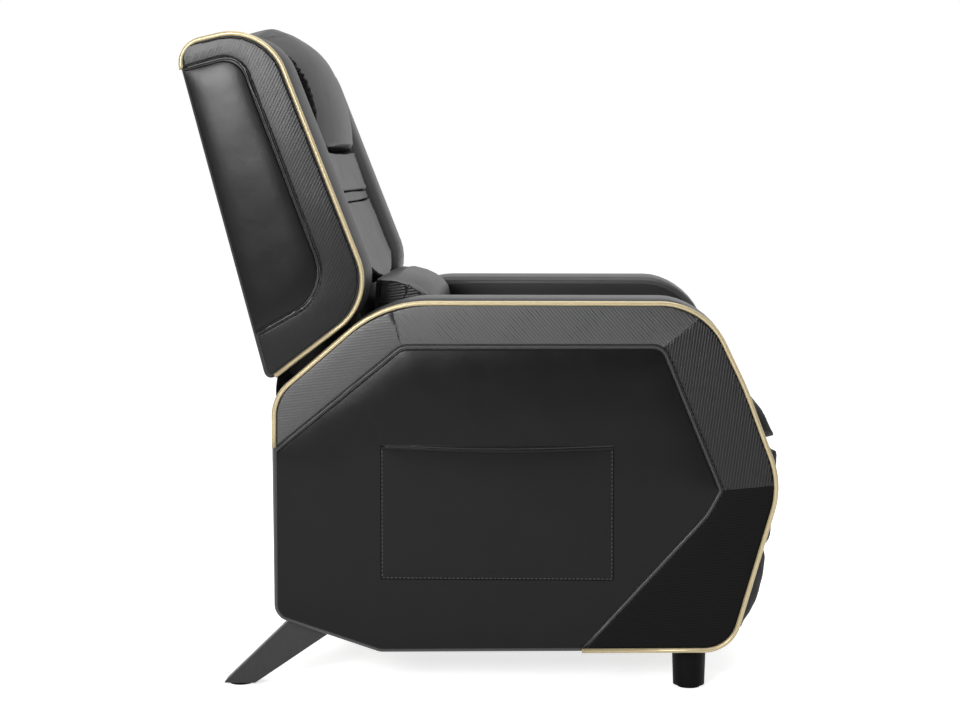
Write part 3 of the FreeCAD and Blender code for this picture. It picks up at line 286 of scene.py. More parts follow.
@dataclass(frozen=True)
class Thread:
    """Twisted sewing thread."""

    name: str
    colour: Colour = (0.02, 0.02, 0.0205)
    twist: float = 0.0005
    twist_angle: float = 40.0
    twist_depth: float = 0.0001
    twist_strength: float = 0.5
    # How far the colour darkens and lightens along the twist: painted shade between the plies and painted light
    # on them.
    tone_spread: Range = (0.6, 1.4)
    gloss: float = 0.6
    sheen: float = 0.1

    def make(self) -> bpy.types.Material:
        """Builds the material."""
        shader = Shader(self.name)
        twist = shader.bands(self.twist, shader.turned(self.twist_angle))
        # The colour follows the twist's height: painted shade in its grooves, painted light on its ridges.
        dark, light = shades(self.colour, *self.tone_spread)
        normal = shader.bump(twist, self.twist_depth, self.twist_strength)
        shader.set(Base_Color=shader.tint(twist, dark, light), Normal=normal)
        shader.set(Roughness=self.gloss, Sheen_Weight=self.sheen)
        return shader.material


@dataclass(frozen=True)
class Plastic:
    """Moulded black plastic with a fine spark-eroded texture."""

    name: str
    colour: Colour = (0.0035, 0.0035, 0.0037)
    spark: float = 0.0009
    spark_detail: float = 3.0
    spark_depth: float = 0.00012
    spark_strength: float = 0.4
    mottle: float = 0.02
    tone_spread: Range = (0.85, 1.2)
    polish: float = 0.015
    gloss: Range = (0.42, 0.56)
    shine: float = 0.06

    def make(self) -> bpy.types.Material:
        """Builds the material."""
        shader = Shader(self.name)
        dark, light = shades(self.colour, *self.tone_spread)
        sparks = shader.cloud(self.spark, self.spark_detail)
        normal = shader.bump(sparks, self.spark_depth, self.spark_strength)
        shader.set(Base_Color=shader.tint(shader.cloud(self.mottle), dark, light), Normal=normal)
        gloss = shader.spread(shader.cloud(self.polish), *self.gloss)
        shader.set(Roughness=gloss, Specular_IOR_Level=self.shine)
        return shader.material


@dataclass(frozen=True)
class Wood:
    """Wood with its grain along one axis, bare or under a coat of paint."""

    name: str
    colour: Colour
    axis: tuple[float, float, float] = (1.0, 1.0, 0.12)
    contrast: float = 0.25
    gloss: float = 0.6
    figure: float = 0.006
    figure_detail: float = 5.0
    figure_depth: float = 0.0003
    figure_strength: float = 0.3
    gloss_spread: float = 0.08
    shine: float = 0.35

    def make(self) -> bpy.types.Material:
        """Builds the material."""
        shader = Shader(self.name)
        along = shader.add("ShaderNodeMapping", {"Vector": shader.place, "Scale": self.axis})
        figure = shader.cloud(self.figure, self.figure_detail, along.outputs["Vector"])
        dark, light = shades(self.colour, 1.0 - self.contrast, 1.0 + self.contrast)
        normal = shader.bump(figure, self.figure_depth, self.figure_strength)
        shader.set(Base_Color=shader.tint(figure, dark, light), Normal=normal)
        gloss = shader.spread(figure, self.gloss + self.gloss_spread, self.gloss - self.gloss_spread)
        shader.set(Roughness=gloss, Specular_IOR_Level=self.shine)
        return shader.material


@dataclass(frozen=True)
class Steel:
    """Steel, either under powder coating or bright with zinc."""

    name: str
    colour: Colour
    metal: float
    gloss: float
    peel: float = 0.0012
    peel_depth: float = 0.0001
    peel_strength: float = 0.3
    mottle: float = 0.01
    mottle_detail: float = 4.0
    tone_spread: Range = (0.85, 1.12)
    polish: float = 0.006
    polishing: Range = (-0.06, 0.08)
    detail: float = 3.0

    def make(self) -> bpy.types.Material:
        """Builds the material."""
        shader = Shader(self.name)
        dark, light = shades(self.colour, *self.tone_spread)
        normal = shader.bump(shader.cloud(self.peel, self.detail), self.peel_depth, self.peel_strength)
        tone = shader.tint(shader.cloud(self.mottle, self.mottle_detail), dark, light)
        shader.set(Base_Color=tone, Normal=normal, Metallic=self.metal)
        shiny, dull = self.polishing
        polish = shader.cloud(self.polish, self.detail)
        shader.set(Roughness=shader.spread(polish, self.gloss + shiny, self.gloss + dull))
        return shader.material


@dataclass(frozen=True)
class Lining:
    """Thin black lining cloth in a plain weave."""

    name: str
    colour: Colour = (0.012, 0.012, 0.013)
    weave: float = 0.0016
    weave_depth: float = 0.0003
    weave_strength: float = 0.4
    mottle: float = 0.004
    mottle_detail: float = 3.0
    tone_spread: Range = (0.7, 1.3)
    polish: float = 0.02
    gloss: Range = (0.78, 0.9)
    sheen: float = 0.08

    def make(self) -> bpy.types.Material:
        """Builds the material."""
        shader = Shader(self.name)
        normal = None
        for axis in "XYZ":
            threads = shader.bands(self.weave, shader.place, axis)
            normal = shader.bump(threads, self.weave_depth, self.weave_strength, normal)
        dark, light = shades(self.colour, *self.tone_spread)
        tone = shader.tint(shader.cloud(self.mottle, self.mottle_detail), dark, light)
        shader.set(Base_Color=tone, Normal=normal)
        shader.set(Roughness=shader.spread(shader.cloud(self.polish), *self.gloss), Sheen_Weight=self.sheen)
        return shader.material


Finish = Union[Leather, Cord, Thread, Plastic, Wood, Steel, Lining]
Choice = Callable[[bmesh.types.BMFace], Finish]

RIB_COLOUR = (0.007, 0.007, 0.0074)
SMOOTH = Leather("smooth_hide")
SOFT = Leather("soft_hide", colour=(0.014, 0.014, 0.0146), gloss=0.42, shine=0.30)
ARM_HIDE = Leather("arm_hide", (0.018, 0.018, 0.0188), 0.42, 0.5)
# The arm's band runs are one ribbed leather in lit and shaded copies, painted light and shade: the rear and top
# runs lighter and shinier, the front run duller, the toe run darkest and dullest.
REAR_RIBS = Leather("rear_band_ribs", RIB_COLOUR, 0.40, 0.65,
                    rib_pitch=0.0042, rib_angle=6.5, rib_depth=0.00014, rib_shade_contrast=0.2)
TOP_RIBS = Leather("top_band_ribs", RIB_COLOUR, 0.40, 0.75,
                   rib_pitch=0.0042, rib_angle=-48.0, rib_depth=0.0004, rib_shade_contrast=0.25)
FRONT_RIBS = Leather("front_band_ribs", gloss=0.40, shine=0.26,
                     rib_pitch=0.0042, rib_angle=82.0, rib_depth=0.0012, rib_shade_contrast=0.8)
TOE_RIBS = Leather("toe_band_ribs", gloss=0.5, shine=0.05,
                   rib_pitch=0.0041, rib_angle=7.0, rib_depth=0.0002, rib_shade_contrast=0.25)
WING_RIBS = Leather("wing_ribs", RIB_COLOUR, 0.28, 0.16,
                    rib_pitch=0.0042, rib_angle=64.0, rib_depth=0.00014, rib_shade_contrast=0.3)
WELT_HIDE = Leather("welt_hide", RIB_COLOUR, 0.40, 0.5)
WING_WELT_HIDE = Leather("wing_welt_hide", RIB_COLOUR, 0.25, 0.26)
INNER_HIDE = Leather("inner_hide", (0.010, 0.010, 0.0104), 0.42, 0.22)
# A dull, darker copy of the hide: painted shade on faces that look up, where they would mirror the lights, and
# over the rear panel.
SHADE_DULLED_HIDE = Leather("shade_dulled_hide", (0.012, 0.012, 0.0125), 0.75, 0.03)
CAP_RIBS = Leather("cap_ribs", RIB_COLOUR, 0.42, 0.3, rib_pitch=0.0044, rib_angle=8.0)
GOLD = Cord("gold_piping")
THREAD = Thread("black_thread")
GREY_THREAD = Thread("grey_thread", (0.10, 0.10, 0.102))
PLASTIC = Plastic("moulded_plastic")
PAINTED_WOOD = Wood("painted_wood", (0.012, 0.012, 0.012), contrast=0.15, gloss=0.5)
BARE_WOOD = Wood("bare_wood", (0.5, 0.34, 0.19))
BLACK_STEEL = Steel("powder_coated_steel", (0.02, 0.02, 0.021), 0.0, 0.5)
BRIGHT_STEEL = Steel("zinc_plated_steel", (0.6, 0.6, 0.6), 1.0, 0.34)
LINING = Lining("lining_cloth")
UPWARD = 0.8
SIDEWAYS = 0.5


def shade_top_faces(face: bmesh.types.BMFace) -> Finish:
    """Painted shade: the dull, darker copy of the hide on faces that look up, which would mirror the lights,
    and soft hide elsewhere.
    """
    return SHADE_DULLED_HIDE if face.normal.z > UPWARD else SOFT


def put_in_scene(name: str, data: bpy.types.ID) -> bpy.types.Object:
    """An object made of a mesh, a lamp or a camera, in the scene."""
    thing = bpy.data.objects.new(name, data)
    bpy.context.scene.collection.objects.link(thing)
    return thing


def finish_of(finish: Finish) -> bpy.types.Material:
    """The material of a finish, made once."""
    return bpy.data.materials.get(finish.name) or finish.make()


def cut(corners: Sequence[Corner], segments: int = 6) -> bmesh.types.BMesh:
    """Cuts a flat piece with rounded corners.

    Args:
        corners: Across, up and radius of each corner, counter-clockwise as seen from -Y.
        segments: Steps in each rounded corner.

    Returns:
        One face in the plane y = 0, facing -Y.
    """
    piece = bmesh.new()
    tips = [piece.verts.new((across, 0.0, up)) for across, up, _ in corners]
    piece.faces.new(tips)
    spots = [tip.co.copy() for tip in tips]
    for i, tip in enumerate(tips):
        radius = corners[i][2]
        if not radius:
            continue
        before = spots[i - 1] - spots[i]
        after = spots[(i + 1) % len(spots)] - spots[i]
        reach = radius / math.tan(before.angle(after) / 2.0)
        bmesh.ops.bevel(piece, geom=[tip], offset=reach, offset_type="OFFSET", segments=segments, profile=0.5,
                        affect="VERTICES", material=-1)
    piece.normal_update()
    return piece


def slice_through(piece: bmesh.types.BMesh, spot: Sequence[float], across: Sequence[float]) -> None:
    """Cuts all of a mesh along the plane through a spot, square to a direction."""
    everything = piece.verts[:] + piece.edges[:] + piece.faces[:]
    bmesh.ops.bisect_plane(piece, geom=everything, dist=NEAR, plane_co=spot, plane_no=across)


def cut_across(piece: bmesh.types.BMesh, axis: int, step: float) -> None:
    """Cuts a mesh across one axis at every step."""
    low = min(v.co[axis] for v in piece.verts)
    high = max(v.co[axis] for v in piece.verts)
    across = [0.0, 0.0, 0.0]
    across[axis] = 1.0
    for i in range(1, math.ceil((high - low) / step)):
        spot = [0.0, 0.0, 0.0]
        spot[axis] = low + i * step
        slice_through(piece, spot, across)


def insets(spots: np.ndarray, seam: np.ndarray) -> np.ndarray:
    """How far in from a closed seam each place lies.

    Args:
        spots: Places, one row each.
        seam: The seam's corners in order, one row each.

    Returns:
        The distance from each place to the seam.
    """
    nearest = np.full(len(spots), np.inf)
    for a, b in zip(seam, np.roll(seam, -1, axis=0)):
        run = b - a
        share = np.clip((spots - a) @ run / max(run @ run, TINY ** 2), 0.0, 1.0)
        nearest = np.minimum(nearest, np.linalg.norm(spots - a - share[:, None] * run, axis=1))
    return nearest


@dataclass(frozen=True)
class Puff:
    """How a sewn piece rises from its seam and swells beyond it."""

    edge: float = 0.0024
    swell: float = 0.0028
    reach: float = 0.010
    rumple: float = 0.0004
    lump: float = 0.05
    step: float = 0.012
    hems: tuple[float, ...] = (0.0004, 0.0007, 0.0016)
    steepness: float = 0.6
    calm: float = 0.02

    def rise(self, inset: np.ndarray) -> np.ndarray:
        """How high the cover stands at a distance in from its seam."""
        quick = self.edge * np.minimum(1.0, inset / sum(self.hems[:2])) ** self.steepness
        return quick + self.swell * (1.0 - np.exp(-inset / self.reach))

    def stuff(self, corners: Sequence[Corner]) -> bmesh.types.BMesh:
        """Cuts a piece and stuffs it.

        Args:
            corners: The cut piece's corners, as for cut.

        Returns:
            A closed mesh with its back in the plane y = 0.
        """
        piece = cut(corners)
        top = piece.faces[:][0]
        seam = np.array([v.co for v in top.verts])
        for hem in self.hems:
            bmesh.ops.inset_region(piece, faces=[top], thickness=hem, use_even_offset=True, use_boundary=True)
        bmesh.ops.connect_verts_concave(piece, faces=[top])
        cut_across(piece, 0, self.step)
        cut_across(piece, 2, self.step)
        inset = insets(np.array([v.co for v in piece.verts]), seam)
        for v, height, far in zip(piece.verts, self.rise(inset), inset):
            v.co.y = -height - self.rumple * noise.noise(v.co / self.lump) * min(1.0, far / self.calm)
        bmesh.ops.holes_fill(piece, edges=[e for e in piece.edges if e.is_boundary], sides=0)
        bmesh.ops.recalc_face_normals(piece, faces=piece.faces[:])
        piece.normal_update()
        return piece


def drawn_out(corners: Sequence[Corner], depths: Sequence[float], shift: Callable[[Vector, float], Vector],
              segments: int = 6) -> bmesh.types.BMesh:
    """Draws a cut piece out along +Y into a closed block.

    Args:
        corners: The cut piece's corners, as for cut.
        depths: How far in each section lies, from the first face on.
        shift: Gives how far a point moves, from its place and its share of the whole depth.
        segments: Steps in each rounded corner.

    Returns:
        The block, with its first face in the plane y = 0.
    """
    block = cut(corners, segments)
    rim = [e for e in block.edges if e.is_boundary]
    gone = 0.0
    for depth in depths:
        made = bmesh.ops.extrude_edge_only(block, edges=rim)["geom"]
        ring = [g for g in made if isinstance(g, bmesh.types.BMVert)]
        bmesh.ops.translate(block, verts=ring, vec=(0.0, depth - gone, 0.0))
        rim = [g for g in made if isinstance(g, bmesh.types.BMEdge)]
        gone = depth
    bmesh.ops.holes_fill(block, edges=[e for e in block.edges if e.is_boundary], sides=0)
    bmesh.ops.recalc_face_normals(block, faces=block.faces[:])
    for v in block.verts:
        v.co += shift(v.co, v.co.y / depths[-1])
    return block


def round_rim(block: bmesh.types.BMesh, y: float, radius: float, segments: int = 5) -> None:
    """Rounds the edge between a block's sides and its flat face at the given y."""
    rim = [e for e in block.edges if all(abs(v.co.y - y) < MERGE_REACH for v in e.verts)
           and any(abs(f.normal.y) < SIDEWAYS for f in e.link_faces)]
    bmesh.ops.bevel(block, geom=rim, offset=radius, offset_type="OFFSET", segments=segments, profile=0.5,
                    affect="EDGES", material=-1, clamp_overlap=True)


def climb(value: float, start_and_run: Range) -> float:
    """0 up to a start, then a straight climb over a run, and 1 beyond it."""
    start, run = start_and_run
    return min(1.0, max(0.0, (value - start) / run))


def beside(path: Sequence[Point], gap: float, sharpest: float = 0.3) -> list[Point]:
    """Moves a path sideways.

    Args:
        path: The points of the path.
        gap: How far it moves, to its left if positive.
        sharpest: The least cosine of half a turn, which keeps the points at sharp turns near.

    Returns:
        The points of the new path.
    """
    moved = []
    for i, (x, y) in enumerate(path):
        before = Vector(path[max(i - 1, 0)])
        after = Vector(path[min(i + 1, len(path) - 1)])
        here = Vector((x, y))
        runs = [(b - a).normalized() for a, b in ((before, here), (here, after)) if (b - a).length > TINY]
        sides = [Vector((-run.y, run.x)) for run in runs]
        middle = sum(sides, Vector((0.0, 0.0))).normalized()
        spot = here + middle * (gap / max(sharpest, middle.dot(sides[0])))
        moved.append((spot.x, spot.y))
    return moved


def rounded_path(corners: Sequence[Corner], segments: int = 6) -> list[Point]:
    """The points along an open path with rounded corners."""
    points = []
    for i, (x, y, radius) in enumerate(corners):
        here = Vector((x, y))
        if not radius or i in (0, len(corners) - 1):
            points.append((x, y))
            continue
        back = (Vector(corners[i - 1][:2]) - here).normalized()
        ahead = (Vector(corners[i + 1][:2]) - here).normalized()
        reach = radius / math.tan(back.angle(ahead) / 2.0)
        for j in range(segments + 1):
            share = j / segments
            spot = here + back * reach * (1 - share) ** 2 + ahead * reach * share ** 2
            points.append((spot.x, spot.y))
    return points


@dataclass(frozen=True)
class Stitching:
    """A row of stitches that lie on a seam."""

    pitch: float = 0.0062
    length: float = 0.0044
    width: float = 0.0009
    height: float = 0.0007

    def sew(self, path: Sequence[Vector], out: Union[Vector, Lay]) -> bmesh.types.BMesh:
        """Lays stitches along a path.

        Args:
            path: The points that the row runs through.
            out: The way up from the cover, or a function that puts a point on it and gives the way up there.

        Returns:
            The stitches, as one mesh.
        """
        row = bmesh.new()
        left = self.pitch / 2.0
        for a, b in zip(path, path[1:]):
            run = b - a
            while left < run.length:
                spot = a + run * (left / run.length)
                up = out
                if callable(out):
                    spot, up = out(spot)
                along = (run - up * run.dot(up)).normalized()
                turn = Matrix((along, up.cross(along), up)).transposed().to_4x4()
                size = Matrix.Diagonal((self.length / 2.0, self.width / 2.0, self.height / 2.0, 1.0))
                bmesh.ops.create_icosphere(row, subdivisions=1, radius=1.0,
                                           matrix=Matrix.Translation(spot) @ turn @ size)
                left += self.pitch
            left -= run.length
        return row


def press_ribs(piece: bmesh.types.BMesh, finish: Leather, number: int) -> None:
    """Presses a finish's ribs into the faces that carry its material number.

    Args:
        piece: The mesh, in place.
        finish: The finish, with the ribs' pitch, angle and depth.
        number: The material number of the faces.
    """
    turn = math.radians(finish.rib_angle + QUARTER_TURN)
    across = Vector((math.cos(turn), 0.0, math.sin(turn)))
    ribbed = [face for face in piece.faces if face.material_index == number]
    spots = [v.co.dot(across) for face in ribbed for v in face.verts]
    step = finish.rib_pitch / CUTS_IN_A_RIB
    parts = [*ribbed]
    parts += {e for face in ribbed for e in face.edges}
    parts += {v for face in ribbed for v in face.verts}
    for i in range(math.ceil(min(spots) / step), math.floor(max(spots) / step) + 1):
        parts = bmesh.ops.bisect_plane(piece, geom=parts, dist=NEAR, plane_co=across * (i * step),
                                       plane_no=across)["geom"]
    piece.normal_update()
    for v in piece.verts:
        if v.link_faces and all(face.material_index == number for face in v.link_faces):
            groove = 0.5 + 0.5 * math.cos(2.0 * math.pi * v.co.dot(across) / finish.rib_pitch)
            v.co -= v.normal * (finish.rib_depth * groove)


class Cover:
    """A cover sewn from several cut pieces, each with its own finish, that ends up as one object."""

    def __init__(self, name: str, place: Optional[Matrix] = None) -> None:
        """Starts an empty cover.

        Args:
            name: The object's name.
            place: The matrix that every piece is put in place with, after its own.
        """
        self.name = name
        self.place = place or Matrix.Identity(4)
        self.finishes: list[Finish] = []
        self.mesh = bmesh.new()

    def number(self, finish: Finish) -> int:
        """The number of a finish's material slot on this cover."""
        if finish not in self.finishes:
            self.finishes.append(finish)
        return self.finishes.index(finish)

    def sew_on(self, piece: bmesh.types.BMesh, finish: Union[Finish, Choice],
               place: Optional[Matrix] = None) -> None:
        """Adds a piece.

        Args:
            piece: Its mesh, which is used up.
            finish: Its finish, or a function that chooses one for each face.
            place: The matrix that puts it in place.
        """
        for face in piece.faces:
            face.material_index = self.number(finish(face) if callable(finish) else finish)
            face.smooth = True
        matrix = self.place @ (place or Matrix.Identity(4))
        piece.transform(matrix)
        if matrix.determinant() < 0.0:
            bmesh.ops.reverse_faces(piece, faces=piece.faces[:])
        for number in sorted({face.material_index for face in piece.faces}):
            used = self.finishes[number]
            if isinstance(used, Leather) and used.rib_pitch:
                press_ribs(piece, used, number)
        carrier = bpy.data.meshes.new(self.name)
        piece.to_mesh(carrier)
        piece.free()
        self.mesh.from_mesh(carrier)
        bpy.data.meshes.remove(carrier)

    def sewn(self) -> bpy.types.Object:
        """Makes the cover's object, with its materials."""
        mesh = bpy.data.meshes.new(self.name)
        self.mesh.to_mesh(mesh)
        self.mesh.free()
        for finish in self.finishes:
            mesh.materials.append(finish_of(finish))
        return put_in_scene(self.name, mesh)

    def hand_over(self, body: str, nodes: Sequence[str], slot: str = HIDE,
                  fill: Optional[float] = None) -> bpy.types.Object:
        """Args:
            body: The body that it rides on.
            nodes: The nodes that it stands for.
            slot: The record's material slot; not used.
            fill: How tightly it is stuffed, for a padded piece; not used.

        Returns:
            The object.
        """
        piece = self.sewn()
        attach(piece, body)
        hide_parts(*nodes)
        log.info("%s: %d faces on %s", self.name, len(piece.data.polygons), body)
        return piece


def drawn_in(corners: Sequence[Corner], gap: float) -> list[Corner]:
    """A rounded outline with every edge moved inwards by a gap."""
    moved = []
    for i, (x, z, radius) in enumerate(corners):
        here = Vector((x, z))
        back = (Vector(corners[i - 1][:2]) - here).normalized()
        ahead = (Vector(corners[(i + 1) % len(corners)][:2]) - here).normalized()
        spot = here + (back + ahead).normalized() * (gap / math.sin(back.angle(ahead) / 2.0))
        moved.append((spot.x, spot.y, max(0.0, radius - gap)))
    return moved


def crossing(a: Line, b: Line) -> Point:
    """The point where two lines cross."""
    ends = [Vector((*spot[:2], 0.0)) for spot in (*a, *b)]
    spot = intersect_line_line(*ends)[0]
    return spot.x, spot.y


def press_line(piece: bmesh.types.BMesh, a: Point, b: Point, width: float, depth: float,
               overrun: float = 0.1) -> None:
    """Presses a narrow groove into a stuffed piece along a line.

    Args:
        piece: The piece.
        a: The point that the line starts from.
        b: The point that it ends at.
        width: Half the groove's width.
        depth: How deep it is.
        overrun: How far it goes on past each end, as a share of its length.
    """
    start = Vector((a[0], 0.0, a[1]))
    run = Vector((b[0], 0.0, b[1])) - start
    across = Vector((-run.z, 0.0, run.x)).normalized()
    for shift in (-width, 0.0, width):
        slice_through(piece, start + across * shift, across)
    for v in piece.verts:
        flat = Vector((v.co.x, 0.0, v.co.z)) - start
        share = flat.dot(run) / run.length_squared
        if abs(flat.dot(across)) < width / 2.0 and -overrun < share < 1.0 + overrun:
            v.co.y = min(0.0, v.co.y + depth)


@dataclass(frozen=True)
class Seam:
    """A seam round a side panel, with a narrow welt on its outer side and stitches along the welt."""

    corners: tuple[Corner, ...]
    gap: float = 0.0003
    welt: float = 0.0058
    welt_puff: Puff = Puff(
        edge=0.0022, swell=0.0004, reach=0.002, rumple=0.0, step=0.02, hems=(0.0003, 0.0004))

    def beside(self, gap: float, ends: tuple[Line, Line]) -> list[Corner]:
        """The seam's corners moved sideways, outwards if positive, and run out to a line at each end."""
        spots = beside([(x, z) for x, z, _ in self.corners], gap)
        spots[0] = crossing(spots[:2], ends[0])
        spots[-1] = crossing(spots[-2:], ends[1])
        radii = [radius and max(0.0, radius + gap) for _, _, radius in self.corners]
        return [(x, z, radius) for (x, z), radius in zip(spots, radii)]

    def inside(self, ends: tuple[Line, Line]) -> list[Corner]:
        """The panel's edge along the seam, from the seam's end back to its start."""
        return self.beside(-self.gap, ends)[::-1]

    def outside(self, ends: tuple[Line, Line]) -> list[Corner]:
        """The band's edge along the seam, from the seam's start to its end."""
        return self.beside(self.welt + self.gap, ends)

    def strip(self, ends: tuple[Line, Line]) -> bmesh.types.BMesh:
        """The welt."""
        outer = rounded_path(self.beside(self.welt - self.gap, ends))
        inner = rounded_path(self.beside(self.gap, ends))
        return self.welt_puff.stuff([(x, z, 0.0) for x, z in [*inner, *outer[::-1]]])

    def stitches(self, rise: float, ends: tuple[Line, Line]) -> bmesh.types.BMesh:
        """A row of stitches along the welt's outer edge."""
        path = [Vector((x, -rise, z)) for x, z in rounded_path(self.beside(self.welt, ends))]
        return Stitching().sew(path, TOWARDS_RIGHT)


@dataclass
class Arm:
    """An arm: a padded core under a smooth side panel framed by a ribbed band in four runs."""

    side: Side
    outer_y: float = 0.3742
    inner_y: float = 0.2585
    crown: float = 0.0055
    band_inset: float = 0.0055
    inner_inset: float = 0.0085
    outline: tuple[Corner, ...] = (
        (-0.308, 0.114, 0.025), (-0.148, 0.061, 0.025), (0.382, 0.067, 0.056), (0.456, 0.320, 0.128),
        (0.402, 0.465, 0.400), (0.341, 0.593, 0.108), (-0.142, 0.593, 0.178), (-0.308, 0.450, 0.065))
    seam: Seam = Seam((
        (-0.2985, 0.3691, 0.0), (-0.1123, 0.5216, 0.022), (0.2753, 0.5230, 0.018), (0.3618, 0.3108, 0.007),
        (0.3420, 0.2744, 0.100), (0.1625, 0.0775, 0.0)))
    joins: tuple[tuple[Point, Point], ...] = (
        ((-0.1123, 0.5216), (-0.1278, 0.5830)), ((0.2753, 0.5230), (0.3330, 0.5700)),
        ((0.3618, 0.3098), (0.4460, 0.3185)))
    panel_puff: Puff = Puff(edge=0.0022, swell=0.0050, reach=0.030)
    band_puff: Puff = Puff(edge=0.0020, swell=0.0008, reach=0.006, rumple=0.0001)
    groove: Range = (0.0008, 0.0010)
    stitch_rise: float = 0.0026
    core_shares: tuple[float, ...] = (0.08, 0.2, 0.35, 0.5, 0.65, 0.8, 0.92, 1.0)
    core_steps: int = 8
    core_rounding: float = 0.007
    crown_power: float = 0.6
    top_climb: Range = (0.45, 0.14)
    front_climb: Range = (0.36, 0.09)
    front_share: float = 0.8
    rear_climb: Range = (0.26, 0.045)
    rear_foot: Range = (0.20, 0.12)

    def ends(self) -> tuple[Line, Line]:
        """The edges that the seam starts and ends on, at the rear and on the underside."""
        edge = drawn_in(self.outline, self.band_inset)
        return (edge[-1], edge[0]), (edge[1], edge[2])

    def panel(self) -> list[Corner]:
        """The side panel's corners."""
        return [*self.seam.inside(self.ends()), *drawn_in(self.outline, self.band_inset)[:2]]

    def band(self) -> list[Corner]:
        """The band's corners, from the toe round the front and the top to the rear, and back along the seam."""
        return [*drawn_in(self.outline, self.band_inset)[2:], *self.seam.outside(self.ends())]

    def band_finish(self, face: bmesh.types.BMFace) -> Finish:
        """The ribs of the band's run that a face lies on, in that run's copy with painted light or shade, or
        plain hide on its back.
        """
        if face.normal.y > SIDEWAYS:
            return SMOOTH
        spot = face.calc_center_median()
        for (a, b), finish in zip(self.joins, (REAR_RIBS, TOP_RIBS, FRONT_RIBS)):
            if (b[0] - a[0]) * (spot.z - a[1]) - (b[1] - a[1]) * (spot.x - a[0]) > 0.0:
                return finish
        return TOE_RIBS

    def core(self) -> bmesh.types.BMesh:
        """The padded core, with a crowned top, front and rear."""
        depth = self.outer_y - self.inner_y

        def swell(spot: Vector, share: float) -> Vector:
            """How far the top, the front and the rear swell."""
            start, run = self.top_climb
            top = max(0.0, (spot.z - start) / run)
            front = climb(spot.x, self.front_climb)
            rear = climb(-spot.x, self.rear_climb) * climb(spot.z, self.rear_foot)
            rise = self.crown * max(0.0, math.sin(math.pi * share)) ** self.crown_power
            return Vector((rise * (self.front_share * front - rear), 0.0, rise * top))

        core = drawn_out(self.outline, [share * depth for share in self.core_shares], swell, self.core_steps)
        round_rim(core, 0.0, self.core_rounding)
        round_rim(core, depth, self.core_rounding)
        return core

    def build(self) -> None:
        """Builds the arm's cover and hands it over."""
        cover = Cover(f"{self.side.value}_arm_upholstery", self.side.flip)
        face = Matrix.Translation((0.0, -self.outer_y, 0.0))
        band = self.band_puff.stuff(self.band())
        for a, b in self.joins:
            press_line(band, a, b, *self.groove)
        inside = Matrix.Translation((0.0, -self.inner_y, 0.0)) @ FACING_IN
        cover.sew_on(self.core(), ARM_HIDE, face)
        cover.sew_on(self.panel_puff.stuff(self.panel()), SMOOTH, face)
        cover.sew_on(band, self.band_finish, face)
        cover.sew_on(self.seam.strip(self.ends()), WELT_HIDE, face)
        cover.sew_on(self.seam.stitches(self.stitch_rise, self.ends()), THREAD, face)
        cover.sew_on(self.band_puff.stuff(drawn_in(self.outline, self.inner_inset)), INNER_HIDE, inside)
        cover.hand_over("base", [f"{self.side.value}_arm_cover"], fill=0.9)


